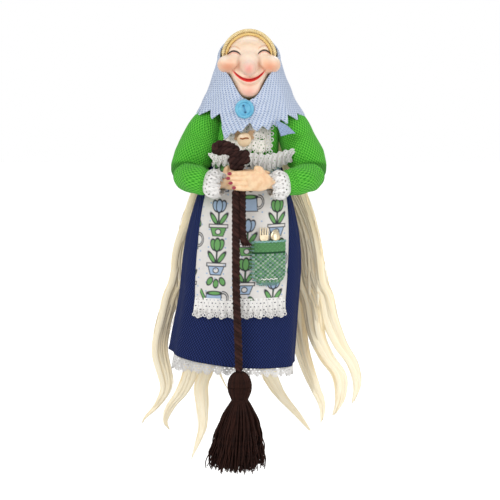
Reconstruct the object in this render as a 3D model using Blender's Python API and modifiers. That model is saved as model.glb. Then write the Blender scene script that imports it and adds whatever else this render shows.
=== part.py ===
"""Hanging cloth doll: an old woman in a kerchief who holds a tassel broom made of cord.

The doll hangs from its crown, which is the origin. z counts up, and a drop is a length
down from the crown. The face looks along -Y, and left and right are the viewer's.
"""

import math

import bmesh
import bpy
import numpy as np
from mathutils import Matrix, Vector

# Fits shared by all pieces
GAP = 0.0003
OVERRUN = 0.0020
CLOTH = 0.0010
THIN_CLOTH = 0.0008

# Head: a cast skull with its features blended on
SKULL_HALF_WIDTH = 0.0146
SKULL_HALF_DEPTH = 0.0150
SKULL_HALF_HEIGHT = 0.0155
FACE_BLEND = 0.0030
FACE_REACH = 0.0420
RAY_FORWARD = 0.0030
RAY_DROP = 0.0030
MOUTH_DEPTH = 0.0011
MOUTH_HALF_WIDTH = 0.0086
MOUTH_RISE = 0.0046
MOUTH_LOW_DROP = 0.0304
LIP_HEIGHT = 0.0012

# Neck dowel
DOWEL_RADIUS = 0.0030
DOWEL_TOP_DROP = 0.0240
DOWEL_END_DROP = 0.0620
DOWEL_CLEARANCE = 0.0002

# Hair on the head
PLAIT_RADIUS = 0.0017
PLAIT_PLANE = 0.0060
STRAND_RADIUS = 0.0008
CAP_THICKNESS = 0.0004
CAP_LIFT = 0.0005
PLAIT_LIFT = 0.0004
STRAND_LIFT = 0.0010
NAPE_THICKNESS = 0.0020
NAPE_TOP_REACH = 0.0132
NAPE_TOP_HALF_WIDTH = 0.0075

# Kerchief: hood and cape in one cloth
HOOD_HALF_WIDTH = 0.0192
HOOD_HALF_DEPTH = 0.0170
HOOD_DROP = 0.0180
OPENING_END_DROP = 0.0430
CAPE_HALF_WIDTH = 0.0335
CAPE_HALF_DEPTH = 0.0190
CAPE_DROP = 0.0525
CAPE_SET_BACK = 0.0010
CAPE_FRONT_HEM_DROP = 0.0555
CAPE_SIDE_HEM_DROP = 0.0470
ZIGZAG_DEPTH = 0.0046
ZIGZAG_COUNT = 22

# Body under the clothes
SHOULDER_DROP = 0.0450
WAIST_DROP = 0.0790
HEM_DROP = 0.1960
TORSO_HALF_WIDTH = 0.0180
TORSO_HALF_DEPTH = 0.0120
HEM_HALF_WIDTH = 0.0365
HEM_HALF_DEPTH = 0.0240
LEAN = 0.0090
CORE_END_DROP = 0.1860
BASE_THICKNESS = 0.0015
BASE_INSET = 0.0025
BODICE_END_DROP = 0.0840
SKIRT_TOP_DROP = 0.0800

# Arms
SHOULDER_REACH = 0.0210
SLEEVE_RADIUS = 0.0116
ELBOW_DROP = 0.0910
FOREARM_RADIUS = 0.0083
WRIST_REACH = 0.0248
ELBOW_OUTSIDE_WRIST = 0.0127
WRIST_FORWARD = 0.0255
WRIST_DROP = 0.0890
CUFF_RADIUS = 0.0080
CUFF_LENGTH = 0.0056
CUFF_WALL = 0.0012

# Hands
HAND_LENGTH = 0.0280
PALM_HALF_HEIGHT = 0.0058
PALM_HALF_THICKNESS = 0.0026
HAND_WRIST_RADIUS = 0.0032
FINGER_RADIUS = 0.0017
THUMB_RADIUS = 0.0018
GRIP_DROP = 0.0875

# Lace, buttons and bow at the breast
FRILL_TOP_DROP = 0.0725
FRILL_END_DROP = 0.0796
JABOT_TOP_DROP = 0.0540
JABOT_END_DROP = 0.0722
BIG_BUTTON_RADIUS = 0.0056
BIG_BUTTON_THICKNESS = 0.0020
BIG_BUTTON_SIDE = -0.0025
BIG_BUTTON_DROP = 0.0472
BUTTON_HOLE_RADIUS = 0.0007
BUTTON_HOLE_SPACING = 0.0038
BUTTON_TILT = math.radians(-17)
THREAD_RADIUS = 0.0003
SMALL_BUTTON_RADIUS = 0.0042
SMALL_BUTTON_THICKNESS = 0.0022
SMALL_BUTTON_SIDE = -0.0027
SMALL_BUTTON_DROP = 0.0650
BOW_HALF_WIDTH = 0.0062
BOW_HALF_HEIGHT = 0.0040
BOW_THICKNESS = 0.0006

# Apron and pocket
APRON_BUTTON_CLEARANCE = 0.0111
APRON_TOP_DROP = SMALL_BUTTON_DROP + SMALL_BUTTON_RADIUS + APRON_BUTTON_CLEARANCE
APRON_END_DROP = 0.1604
APRON_LACE_END_DROP = 0.1720
APRON_TOP_SHARES = (-0.86, 0.94)
APRON_END_SHARES = (-0.684, 0.755)
SCALLOP_DEPTH = 0.0026
SCALLOP_COUNT = 10
POCKET_LEFT = 0.0018
POCKET_RIGHT = 0.0210
POCKET_TOP_DROP = 0.1243
POCKET_END_DROP = 0.1488
POCKET_DEPTH = 0.0026
POCKET_WALL = 0.0007
POCKET_SEAM = 0.0016

# Charm fork and spoon
CUTLERY_LENGTH = 0.0220
CUTLERY_THICKNESS = 0.0008
CUTLERY_HANDLE_WIDTH = 0.0013
FORK_WIDTH = 0.0052
FORK_SIDE = 0.0086
FORK_TIP_DROP = 0.1160
SPOON_HALF_WIDTH = 0.0031
SPOON_HALF_HEIGHT = 0.0040
SPOON_HALF_DEPTH = 0.0011
SPOON_SIDE = 0.0153
SPOON_TIP_DROP = 0.1172

# Underskirt lace below the hem
UNDERSKIRT_END_DROP = 0.2058
UNDERSKIRT_WAVE = 0.0009
UNDERSKIRT_THICKNESS = 0.0006

# Cord broom
BROOM_SIDE = -0.0054
BROOM_CLEARANCE = 0.0008
CORD_RADIUS = 0.0024
TAIL_RADIUS = 0.0020
GRIP_END_DROP = 0.0945
CORD_END_DROP = 0.1994
TAIL_END_DROP = 0.1285
TAIL_TOP_STEP = 0.0045
KNOT_CLEARANCE = 0.0020
KNOT_RADIUS = 0.0040
KNOT_PITCH = 0.0050
LOOP_RADIUS = 0.0021
BULB_RADIUS = 0.0072
BULB_HEIGHT = 0.0150
BINDING_HEIGHT = 0.0022
BINDING_RADIUS = 0.0056
FRINGE_RADIUS = 0.0175
FRINGE_END_DROP = 0.2593

# Long hair down the back
HAIR_TOP_CLEARANCE = 0.0010
HAIR_THICKNESS = 0.0040
HAIR_MASS_END_DROP = 0.1500
HAIR_SPREAD = 0.0700
HAIR_END_DROP = 0.2670
HAIR_TOP_HALF_WIDTH = 0.0130
HAIR_END_HALF_WIDTH = 0.0450
HAIR_TOP_BACK = 0.0160
HAIR_HIP_BACK = 0.0285
HAIR_HEM_BACK = 0.0310
HAIR_TOP_ARC = 0.0300
HAIR_END_ARC = 0.0530
LOCK_RADIUS = 0.0024

# Shares of the torso: height, half width, half depth
TORSO_SHARES = ((0.0, 0.42, 0.52), (0.10, 0.74, 0.74), (0.28, 0.95, 0.92), (0.55, 1.0, 1.0),
                (1.0, 0.97, 1.0))
# The skirt widens fast below the waist, and most of it within this share of its height
FLARE_SHARE = 0.38
# Face opening of the hood: share of the way from the crown to the chin, share of a quarter turn
OPENING_SHARES = ((0.0, 1.0), (0.24, 1.0), (0.34, 0.80), (0.50, 0.76), (0.64, 0.56), (0.80, 0.36),
                  (0.94, 0.23), (1.0, 0.0))
# Balls of the head: place and half sizes in skull half sizes, and whether it comes in pairs
HEAD_BALL_SHARES = {
    "skull": ((0.0, 0.0, 0.0), (1.0, 1.0, 1.0), False),
    "cheek": ((0.842, -0.633, -0.219), (0.425, 0.40, 0.355), True),
    "inner_cheek": ((0.46, -0.83, -0.21), (0.38, 0.28, 0.31), True),
    "nose_bridge": ((0.0, -0.87, 0.26), (0.25, 0.19, 0.28), False),
    "nose_middle": ((0.0, -1.12, -0.08), (0.355, 0.35, 0.33), False),
    "nose_tip": ((0.0, -1.50, -0.37), (0.285, 0.34, 0.29), False),
    "nose_wing": ((0.22, -1.15, -0.22), (0.20, 0.24, 0.22), True),
    "muzzle": ((0.0, -0.72, -0.66), (0.69, 0.46, 0.40), False),
    "jaw": ((0.0, -0.64, -0.95), (0.55, 0.50, 0.38), False),
    "chin": ((0.0, -0.93, -1.165), (0.38, 0.38, 0.30), False),
    "brow": ((0.34, -0.64, 0.38), (0.33, 0.20, 0.18), True),
}
# Rise of the leaning hair's outer top edge, in hair thicknesses
HAIR_TILT_SHARE = 0.14
# Routes of the arms: upper arm by share of fall, reach and forward; forearm by share of its length, forward
UPPER_ARM_SHARES = ((0, 0, -0.06), (0.17, 0.30, 0.0), (0.36, 0.50, 0.04), (0.56, 0.70, 0.12),
                    (0.77, 0.88, 0.20), (0.91, 0.97, 0.26), (1.0, 1.0, 0.30))
FOREARM_ROUTE_SHARES = ((-0.10, 0.38), (0.22, 0.68), (0.62, 0.94), (1.0, 1.03))
# Radius along a sleeve and a hair lock, and where the finger tips end in hand lengths
SLEEVE_SHARES = (0.66, 0.84, 0.90, 0.95, 1.0, 0.90, 0.62)
FINGER_TIP_SHARES = (-0.43, -0.46, -0.41, -0.34)
WRIST_SHARES = (0.95, 0.95, 0.95, 1.1, 0.8)
FINGER_SHARES = (1.1, 1.05, 1.0, 0.62)
THUMB_RISE_SHARE = 1.30
THUMB_SHARES = (1.0, 1.1, 1.0, 0.6)
FOREARM_SHARES = (0.80, 1.0, 1.0, 0.93, 0.86)
LOCK_SHARES = (0.75, 1.0, 1.0, 0.9, 0.8, 0.66, 0.5, 0.34, 0.18)
# Bow outline in half widths and half heights
BOW_SHARES = ((-0.12, 0.16), (-0.62, 0.78), (-1.0, 0.52), (-0.86, 0.0), (-0.98, -0.48), (-0.58, -0.72),
              (-0.12, -0.16), (0.12, -0.16), (0.60, -0.60), (0.96, -0.30), (0.80, 0.18), (1.0, 0.86),
              (0.52, 0.84), (0.12, 0.16))
# Routes of the hair locks: share of the spread, share of the fall below the hair mass
LOCK_ROUTE_SHARES = {
    "hair_lock_left_outer": (
        (-0.62, 0), (-0.68, 0.08), (-0.73, 0.18), (-0.78, 0.3), (-0.785, 0.39), (-0.745, 0.5),
        (-0.735, 0.58), (-0.81, 0.66), (-0.91, 0.72), (-0.95, 0.77)),
    "hair_lock_left_middle": (
        (-0.48, 0), (-0.5, 0.25), (-0.53, 0.48), (-0.6, 0.6), (-0.7, 0.68), (-0.75, 0.76),
        (-0.71, 0.81)),
    "hair_lock_left_floor": (
        (-0.34, 0), (-0.36, 0.25), (-0.38, 0.48), (-0.43, 0.58), (-0.42, 0.7), (-0.42, 0.8),
        (-0.45, 0.87), (-0.52, 0.985)),
    "hair_lock_left_thin": (
        (-0.2, 0), (-0.23, 0.25), (-0.265, 0.48), (-0.23, 0.56), (-0.165, 0.63)),
    "hair_lock_right_inner": (
        (0.11, 0), (0.14, 0.25), (0.165, 0.48), (0.225, 0.58), (0.31, 0.655), (0.43, 0.73),
        (0.55, 0.81)),
    "hair_lock_right_middle": (
        (0.33, 0), (0.39, 0.13), (0.46, 0.37), (0.55, 0.525), (0.64, 0.655), (0.64, 0.755)),
    "hair_lock_right_long": (
        (0.475, 0), (0.55, 0.12), (0.59, 0.28), (0.68, 0.4), (0.79, 0.5), (0.8, 0.62), (0.74, 0.72)),
    "hair_lock_right_outer": (
        (0.6, 0), (0.655, 0.07), (0.7, 0.2), (0.79, 0.33), (0.91, 0.44), (0.95, 0.55), (0.91, 0.65)),
}
LOCK_SIZE_SHARES = {"hair_lock_left_thin": 0.6, "hair_lock_left_middle": 0.85, "hair_lock_right_inner": 0.8}

# Facet counts
BODY_SIDES = 32
KNOT_TURNS = 1.5
HEAD_SIDES = 40
HEAD_RINGS = 28
RAY_STEPS = 60
RAY_HALVINGS = 14
CAP_COLUMNS = 9
CAP_RINGS = 16
ROUND_SIDES = 20

CLOTHES = "hanging_doll"
parts = None
cutters = None


# Scene and material helpers

def clear_scene():
    for thing in list(bpy.data.objects):
        bpy.data.objects.remove(thing, do_unlink=True)


def new_collection(name):
    collection = bpy.data.collections.new(name)
    bpy.context.scene.collection.children.link(collection)
    return collection


def material(name, colour, roughness, metallic=0.0):
    made = bpy.data.materials.get(name)
    if made is None:
        made = bpy.data.materials.new(name)
        made.use_nodes = True
        shader = made.node_tree.nodes["Principled BSDF"]
        shader.inputs["Base Color"].default_value = (*colour, 1.0)
        shader.inputs["Roughness"].default_value = roughness
        shader.inputs["Metallic"].default_value = metallic
    return made


SKIN = ("painted_face", (0.86, 0.58, 0.44), 0.45)
HAND_SKIN = ("painted_hands", (0.86, 0.60, 0.38), 0.45)
BLOND = ("blond_hair", (0.85, 0.70, 0.42), 0.55)
BLUE_CLOTH = ("kerchief_cloth", (0.42, 0.60, 0.86), 0.9)
BLUE_BUTTON = ("blue_button", (0.13, 0.50, 0.72), 0.3)
GREEN_CLOTH = ("green_cloth", (0.04, 0.38, 0.02), 0.9)
NAVY_CLOTH = ("navy_cloth", (0.01, 0.02, 0.12), 0.9)
WHITE_LACE = ("white_lace", (0.85, 0.83, 0.80), 0.85)
IVORY_LACE = ("ivory_lace", (0.80, 0.74, 0.60), 0.85)
APRON_CLOTH = ("apron_cloth", (0.68, 0.67, 0.66), 0.9)
POCKET_KNIT = ("pocket_knit", (0.12, 0.35, 0.20), 0.9)
CREAM_BUTTON = ("cream_button", (0.85, 0.66, 0.42), 0.35)
TAN_RIBBON = ("tan_ribbon", (0.45, 0.30, 0.18), 0.7)
GOLD = ("gold_metal", (0.80, 0.58, 0.25), 0.25, 1.0)
BROWN_CORD = ("brown_cord", (0.05, 0.022, 0.018), 0.85)
WOOD = ("dowel_wood", (0.55, 0.38, 0.20), 0.6)
STUFFING = ("stuffing_cloth", (0.75, 0.72, 0.66), 0.95)


def add(name, data, look, collection=None):
    thing = bpy.data.objects.new(name, data)
    (collection or parts).objects.link(thing)
    if look is not None:
        data.materials.append(material(*look))
    return thing


def mesh_object(name, verts, faces, look, collection=None):
    mesh = bpy.data.meshes.new(name)
    mesh.from_pydata([tuple(v) for v in verts], [], faces)
    mesh.update()
    mesh.shade_smooth()
    return add(name, mesh, look, collection)


def bmesh_object(name, shape, look, collection=None):
    mesh = bpy.data.meshes.new(name)
    shape.to_mesh(mesh)
    shape.free()
    mesh.shade_smooth()
    return add(name, mesh, look, collection)


def sharpen(thing, degrees=40.0):
    thing.data.set_sharp_from_angle(angle=math.radians(degrees))
    return thing


# Form helpers: lofts, sheets, tubes and turned pieces

def blend(shares, where):
    """Straight-line reading of a table of shares at one place."""
    for low, high in zip(shares, shares[1:]):
        if where <= high[0]:
            t = (where - low[0]) / (high[0] - low[0])
            return [a + (b - a) * max(t, 0.0) for a, b in zip(low[1:], high[1:])]
    return list(shares[-1][1:])


def loft(name, rings, look, collection=None):
    """A closed body through rings of equal count, each counterclockwise from above, top ring first."""
    count = len(rings[0])
    verts = [p for ring in rings for p in ring]
    faces = []
    for r in range(len(rings) - 1):
        for c in range(count):
            n = (c + 1) % count
            faces.append((r * count + c, (r + 1) * count + c, (r + 1) * count + n, r * count + n))
    last = (len(rings) - 1) * count
    faces.append(tuple(range(count)))
    faces.append(tuple(last + c for c in reversed(range(count))))
    return mesh_object(name, verts, faces, look, collection)


def sheet(name, rows, thickness, look, closed=False, collection=None):
    """Cloth on a grid of points, thickened outwards. Rows run down, columns counterclockwise from above."""
    count = len(rows[0])
    verts = [p for row in rows for p in row]
    faces = []
    for r in range(len(rows) - 1):
        for c in range(count if closed else count - 1):
            n = (c + 1) % count
            faces.append((r * count + c, (r + 1) * count + c, (r + 1) * count + n, r * count + n))
    thing = mesh_object(name, verts, faces, look, collection)
    shape = bmesh.new()
    shape.from_mesh(thing.data)
    bmesh.ops.remove_doubles(shape, verts=shape.verts, dist=GAP / 10)
    bmesh.ops.dissolve_degenerate(shape, edges=shape.edges, dist=GAP / 10)
    shape.to_mesh(thing.data)
    shape.free()
    wall = thing.modifiers.new("cloth_thickness", "SOLIDIFY")
    wall.thickness = thickness
    wall.offset = 1.0
    return thing


def smooth_route(points, steps):
    """Points along a Catmull-Rom curve through the given ones, with so many steps in each span."""
    ends = [points[0] * 2 - points[1]] + list(points) + [points[-1] * 2 - points[-2]]
    route = []
    for a, b, c, d in zip(ends, ends[1:], ends[2:], ends[3:]):
        for k in range(steps):
            t = k / steps
            bend = (a * 2 - b * 5 + c * 4 - d) * t * t + (b * 3 - a - c * 3 + d) * t ** 3
            route.append((b * 2 + (c - a) * t + bend) / 2)
    return route + [points[-1]]


def even_shares(shares, count):
    """Reads a list of shares at so many even places."""
    read = []
    for k in range(count):
        at = k * (len(shares) - 1) / (count - 1)
        low = min(int(at), len(shares) - 2)
        read.append(shares[low] + (shares[low + 1] - shares[low]) * (at - low))
    return read


def tube(name, points, radius, look, shares=None, resolution=2, collection=None):
    """A round tube along the points, whose radius follows the shares."""
    curve = bpy.data.curves.new(name, "CURVE")
    curve.dimensions = "3D"
    curve.bevel_depth = radius
    curve.bevel_resolution = resolution
    curve.use_fill_caps = True
    spline = curve.splines.new("POLY")
    spline.points.add(len(points) - 1)
    sizes = even_shares(shares, len(points)) if shares else [1.0] * len(points)
    for spot, place, size in zip(spline.points, points, sizes):
        spot.co = (*place, 1.0)
        spot.radius = size
    return add(name, curve, look, collection)


def meshed(thing):
    """The same piece as a mesh with welded caps, so that it can be cut or joined."""
    bpy.context.view_layer.update()
    graph = bpy.context.evaluated_depsgraph_get()
    mesh = bpy.data.meshes.new_from_object(thing.evaluated_get(graph))
    shape = bmesh.new()
    shape.from_mesh(mesh)
    bmesh.ops.remove_doubles(shape, verts=shape.verts, dist=GAP / 30)
    shape.to_mesh(mesh)
    shape.free()
    name = thing.name
    home = thing.users_collection[0]
    place = thing.matrix_world.copy()
    old = thing.data
    bpy.data.objects.remove(thing, do_unlink=True)
    if isinstance(old, bpy.types.Curve):
        bpy.data.curves.remove(old)
    made = bpy.data.objects.new(name, mesh)
    made.matrix_world = place
    home.objects.link(made)
    return made


def turned(name, profile, place, axis, look, sides=ROUND_SIDES, collection=None):
    """A profile of (radius, height) pairs, outer side from top to bottom, turned about a local axis."""
    mesh = bpy.data.meshes.new(name)
    verts = [(r, 0.0, h) for r, h in profile]
    mesh.from_pydata(verts, [(k, k + 1) for k in range(len(verts) - 1)], [])
    thing = add(name, mesh, look, collection)
    screw = thing.modifiers.new("turn", "SCREW")
    screw.steps = sides
    screw.render_steps = sides
    screw.use_merge_vertices = True
    screw.merge_threshold = GAP / 30
    screw.use_smooth_shade = True
    lean = Vector((0, 0, 1)).rotation_difference(axis).to_matrix().to_4x4()
    thing.matrix_world = Matrix.Translation(place) @ lean
    return thing


def as_cutter(thing):
    thing.hide_render = True
    thing.display_type = "WIRE"
    return thing


def swollen(tool, clearance):
    """A cutter: the tool's own shape, pushed out by the clearance."""
    bpy.context.view_layer.update()
    graph = bpy.context.evaluated_depsgraph_get()
    mesh = bpy.data.meshes.new_from_object(tool.evaluated_get(graph))
    mesh.transform(tool.matrix_world)
    shape = bmesh.new()
    shape.from_mesh(mesh)
    bmesh.ops.remove_doubles(shape, verts=shape.verts, dist=GAP / 30)
    shape.normal_update()
    moves = [(v, v.normal * clearance) for v in shape.verts]
    for vert, move in moves:
        vert.co += move
    shape.to_mesh(mesh)
    shape.free()
    cutter = bpy.data.objects.new(tool.name + "_cutter", mesh)
    cutters.objects.link(cutter)
    return as_cutter(cutter)


def cut(target, cutter):
    knife = target.modifiers.new("cut", "BOOLEAN")
    knife.operation = "DIFFERENCE"
    knife.solver = "EXACT"
    knife.object = cutter


def join(target, others):
    for other in others:
        glue = target.modifiers.new("join", "BOOLEAN")
        glue.operation = "UNION"
        glue.solver = "EXACT"
        glue.object = as_cutter(other)


def down(x, y, drop):
    return Vector((x, y, -drop))


# The skull and its face

SKULL_SECTION_SHARE = math.sqrt(1 - (PLAIT_PLANE / SKULL_HALF_DEPTH) ** 2)
SKULL_DROP = SKULL_HALF_HEIGHT * SKULL_SECTION_SHARE + PLAIT_LIFT + 2 * PLAIT_RADIUS
SKULL_HALVES = Vector((SKULL_HALF_WIDTH, SKULL_HALF_DEPTH, SKULL_HALF_HEIGHT))
SKULL_CENTRE = down(0, 0, SKULL_DROP)
RAY_CENTRE = down(0, -RAY_FORWARD, SKULL_DROP + RAY_DROP)


def head_field(points):
    """Rough distance to the head: its balls, each blended into the rest over the face's blend width."""
    halves, centre = np.array(SKULL_HALVES), np.array(SKULL_CENTRE)
    total = None
    for place, size, paired in HEAD_BALL_SHARES.values():
        for side in (1, -1) if paired else (1,):
            away = (points - centre - np.array(place) * halves * (side, 1, 1)) / (np.array(size) * halves)
            near = np.linalg.norm(away, axis=-1)
            slope = np.linalg.norm(away / (np.array(size) * halves), axis=-1)
            ball = near * (near - 1) / slope
            if total is None:
                total = ball
            else:
                mix = np.maximum(FACE_BLEND - np.abs(total - ball), 0) / FACE_BLEND
                total = np.minimum(total, ball) - mix * mix * FACE_BLEND / 4
    return total


def head_points(directions):
    """Points of the head in these directions from the ray centre: the outermost step inside, then halving."""
    ways, start = np.array(directions), np.array(RAY_CENTRE)
    inner = np.zeros(len(ways))
    step = FACE_REACH / RAY_STEPS
    for k in range(1, RAY_STEPS):
        inside = head_field(start + ways * (step * k)) < 0
        inner[inside] = step * k
    outer = inner + step
    for _ in range(RAY_HALVINGS):
        middle = (inner + outer) / 2
        inside = head_field(start + ways * middle[:, None]) < 0
        inner, outer = np.where(inside, middle, inner), np.where(inside, outer, middle)
    places = start + ways * inner[:, None]
    line = -MOUTH_LOW_DROP + MOUTH_RISE * (places[:, 0] / MOUTH_HALF_WIDTH) ** 2
    fall = np.exp(-((places[:, 2] - line) / LIP_HEIGHT) ** 2 - (places[:, 0] / MOUTH_HALF_WIDTH) ** 6)
    places[:, 1] += np.where(places[:, 1] < 0, MOUTH_DEPTH * fall, 0)
    return [Vector(place) for place in places]


def make_head():
    shape = bmesh.new()
    bmesh.ops.create_uvsphere(shape, u_segments=HEAD_SIDES, v_segments=HEAD_RINGS, radius=1)
    for vert, place in zip(shape.verts, head_points([tuple(v.co.normalized()) for v in shape.verts])):
        vert.co = place
    head = bmesh_object("head", shape, SKIN)
    cut(head, dowel_cutter())
    return head


def dowel_length():
    return DOWEL_END_DROP - DOWEL_TOP_DROP


def dowel_shape(name, radius, extra, look, collection):
    shape = bmesh.new()
    bmesh.ops.create_cone(shape, cap_ends=True, segments=ROUND_SIDES, radius1=radius, radius2=radius,
                          depth=dowel_length() + 2 * extra)
    dowel = bmesh_object(name, shape, look, collection)
    dowel.location = down(0, 0, (DOWEL_TOP_DROP + DOWEL_END_DROP) / 2)
    return sharpen(dowel)


def dowel_cutter():
    return as_cutter(dowel_shape("dowel_bore", DOWEL_RADIUS + DOWEL_CLEARANCE, GAP, None, cutters))


# Hood, cape, cap, plait and nape

CAP_RISE = math.pi * CAP_RINGS / HEAD_RINGS
CAP_END_DROP = -head_points([(0, math.sin(CAP_RISE), math.cos(CAP_RISE))])[0].z
KERCHIEF_TOP_DROP = SKULL_DROP - SKULL_HALF_HEIGHT - CAP_LIFT - CAP_THICKNESS - GAP


def kerchief_sizes(drop):
    """Half sizes of the kerchief's inner side: a quarter ellipse down to the hood's drop, then a straight cape."""
    if drop <= HOOD_DROP:
        t = (HOOD_DROP - drop) / (HOOD_DROP - KERCHIEF_TOP_DROP)
        round_share = math.sqrt(max(0.0, 1 - t * t))
        return HOOD_HALF_WIDTH * round_share, HOOD_HALF_DEPTH * round_share
    t = (drop - HOOD_DROP) / (CAPE_DROP - HOOD_DROP)
    return (HOOD_HALF_WIDTH + (CAPE_HALF_WIDTH - HOOD_HALF_WIDTH) * t,
            HOOD_HALF_DEPTH + (CAPE_HALF_DEPTH - HOOD_HALF_DEPTH) * t)


def kerchief_point(turn, drop):
    """A point of the kerchief's inner side; turn 0 is the front and counts counterclockwise from above."""
    half_width, half_depth = kerchief_sizes(drop)
    return down(half_width * math.sin(turn), CAPE_SET_BACK - half_depth * math.cos(turn), drop)


def cape_hem_drop(turn):
    """The hem rises over the shoulders and hangs low in front and behind."""
    return CAPE_SIDE_HEM_DROP + (CAPE_FRONT_HEM_DROP - CAPE_SIDE_HEM_DROP) * math.cos(turn) ** 2


def opening_turn(drop):
    share = blend(OPENING_SHARES, min(1.0, drop / OPENING_END_DROP))[0]
    return share * math.pi / 2


def make_kerchief():
    columns = 2 * ZIGZAG_COUNT
    drops = [KERCHIEF_TOP_DROP + (HOOD_DROP - KERCHIEF_TOP_DROP) * s for s in (0.0, 0.10, 0.30, 0.60, 1.0)]
    drops += [OPENING_END_DROP * share for share, turn in OPENING_SHARES[4:]]
    rows = []
    for drop in drops:
        first = opening_turn(drop)
        step = (2 * math.pi - 2 * first) / columns
        rows.append([kerchief_point(first + step * k, drop) for k in range(columns + 1)])
    for share, tooth in ((0.5, 0.0), (1.0, 1.0)):
        row = []
        for k in range(columns + 1):
            turn = 2 * math.pi * k / columns
            drop = OPENING_END_DROP + (cape_hem_drop(turn) - OPENING_END_DROP) * share
            row.append(kerchief_point(turn, drop + ZIGZAG_DEPTH * tooth * (k % 2)))
        rows.append(row)
    return sheet("kerchief", rows, THIN_CLOTH, BLUE_CLOTH)


def make_cap():
    """Hair glued to the skull behind the plait, a thin skin on every second of the head's facets."""
    ways = []
    turns = range(-CAP_COLUMNS, CAP_COLUMNS + 1, 2)
    for ring in range(0, CAP_RINGS + 1, 2):
        rise = math.pi * ring / HEAD_RINGS
        for k in turns:
            turn = 2 * math.pi * k / HEAD_SIDES
            ways.append((-math.sin(rise) * math.sin(turn), math.sin(rise) * math.cos(turn), math.cos(rise)))
    points = [p + (p - SKULL_CENTRE).normalized() * CAP_LIFT for p in head_points(ways)]
    rows = [points[k:k + len(turns)] for k in range(0, len(points), len(turns))]
    return sheet("hair_cap", rows, CAP_THICKNESS, BLOND)


def skull_arc(plane, radius, lift, count, reach):
    """Centres of a round strand that lies on the head in one plane, from cheek to cheek over the crown."""
    section = math.sqrt(1 - (plane / SKULL_HALF_DEPTH) ** 2)
    points = []
    for k in range(count):
        turn = reach * (2 * k / (count - 1) - 1)
        way = Vector((section * math.sin(turn), -plane / SKULL_HALF_DEPTH, section * math.cos(turn)))
        spot = SKULL_CENTRE + way * SKULL_HALVES
        out = Vector((spot.x / SKULL_HALF_WIDTH ** 2, 0, (spot.z + SKULL_DROP) / SKULL_HALF_HEIGHT ** 2)).normalized()
        points.append(spot + out * (radius + lift))
    return points


def make_plaits():
    arc = skull_arc(PLAIT_PLANE, PLAIT_RADIUS, PLAIT_LIFT, 33, math.radians(76))
    lumps = [0.55] + [1.0 if k % 2 else 0.82 for k in range(31)] + [0.55]
    tube("hair_plait", arc, PLAIT_RADIUS, BLOND, shares=lumps, resolution=1)
    strand_plane = PLAIT_PLANE + PLAIT_RADIUS + STRAND_RADIUS + GAP
    arc = skull_arc(strand_plane, STRAND_RADIUS, STRAND_LIFT, 21, math.radians(74))
    tube("hair_strand", arc, STRAND_RADIUS, BLOND, resolution=1)


# Body form that all the clothes follow

def body_axis(drop):
    return -LEAN * (drop - SHOULDER_DROP) / (HEM_DROP - SHOULDER_DROP)


def body_halves(drop, out):
    """Half sizes at a drop, so far out from the stuffed body."""
    if drop < WAIST_DROP:
        wide, deep = blend(TORSO_SHARES, (drop - SHOULDER_DROP) / (WAIST_DROP - SHOULDER_DROP))
        return TORSO_HALF_WIDTH * wide + out, TORSO_HALF_DEPTH * deep + out
    wide, deep = TORSO_SHARES[-1][1:]
    t = (drop - WAIST_DROP) / (HEM_DROP - WAIST_DROP)
    flare = (1 - math.exp(-t / FLARE_SHARE)) / (1 - math.exp(-1 / FLARE_SHARE))
    waist_width, waist_depth = TORSO_HALF_WIDTH * wide, TORSO_HALF_DEPTH * deep
    return (waist_width + (HEM_HALF_WIDTH - waist_width) * flare + out,
            waist_depth + (HEM_HALF_DEPTH - waist_depth) * flare + out)


def body_ring(drop, out, sides=BODY_SIDES, wave=0.0, waves=0):
    half_width, half_depth = body_halves(drop, out)
    ring = []
    for k in range(sides):
        turn = 2 * math.pi * k / sides
        ripple = wave * math.sin(waves * turn)
        x = body_axis(drop) + (half_width + ripple) * math.sin(turn)
        ring.append(down(x, -(half_depth + ripple) * math.cos(turn), drop))
    return ring


def front_point(x, drop, out):
    half_width, half_depth = body_halves(drop, out)
    share = (x - body_axis(drop)) / half_width
    return down(x, -half_depth * math.sqrt(max(0.0, 1 - share * share)), drop)


def front_row(drop, out, left_share, right_share, columns):
    """Points across the front, between two shares of the half width."""
    half_width, half_depth = body_halves(drop, out)
    low, high = math.asin(left_share), math.asin(right_share)
    row = []
    for k in range(columns + 1):
        turn = low + (high - low) * k / columns
        row.append(down(body_axis(drop) + half_width * math.sin(turn), -half_depth * math.cos(turn), drop))
    return row


def spread(low, high, shares):
    return [low + (high - low) * s for s in shares]


BODICE_OUT = GAP
LACE_OUT = BODICE_OUT + CLOTH + GAP
SKIRT_OUT = LACE_OUT
APRON_OUT = SKIRT_OUT + CLOTH + GAP
POCKET_OUT = APRON_OUT + THIN_CLOTH + GAP


def make_body():
    drops = spread(SHOULDER_DROP + GAP, WAIST_DROP, (0.0, 0.12, 0.30, 0.6, 1.0))
    drops += spread(WAIST_DROP, CORE_END_DROP, (0.08, 0.18, 0.32, 0.55, 1.0))
    core = loft("body_core", [body_ring(d, 0) for d in drops], STUFFING)
    sharpen(core)
    cut(core, dowel_cutter())
    base_top = CORE_END_DROP + GAP
    base = loft("skirt_base", [body_ring(d, -BASE_INSET) for d in (base_top, base_top + BASE_THICKNESS)], STUFFING)
    sharpen(base)
    dowel_shape("neck_dowel", DOWEL_RADIUS, 0, WOOD, None)


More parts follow.
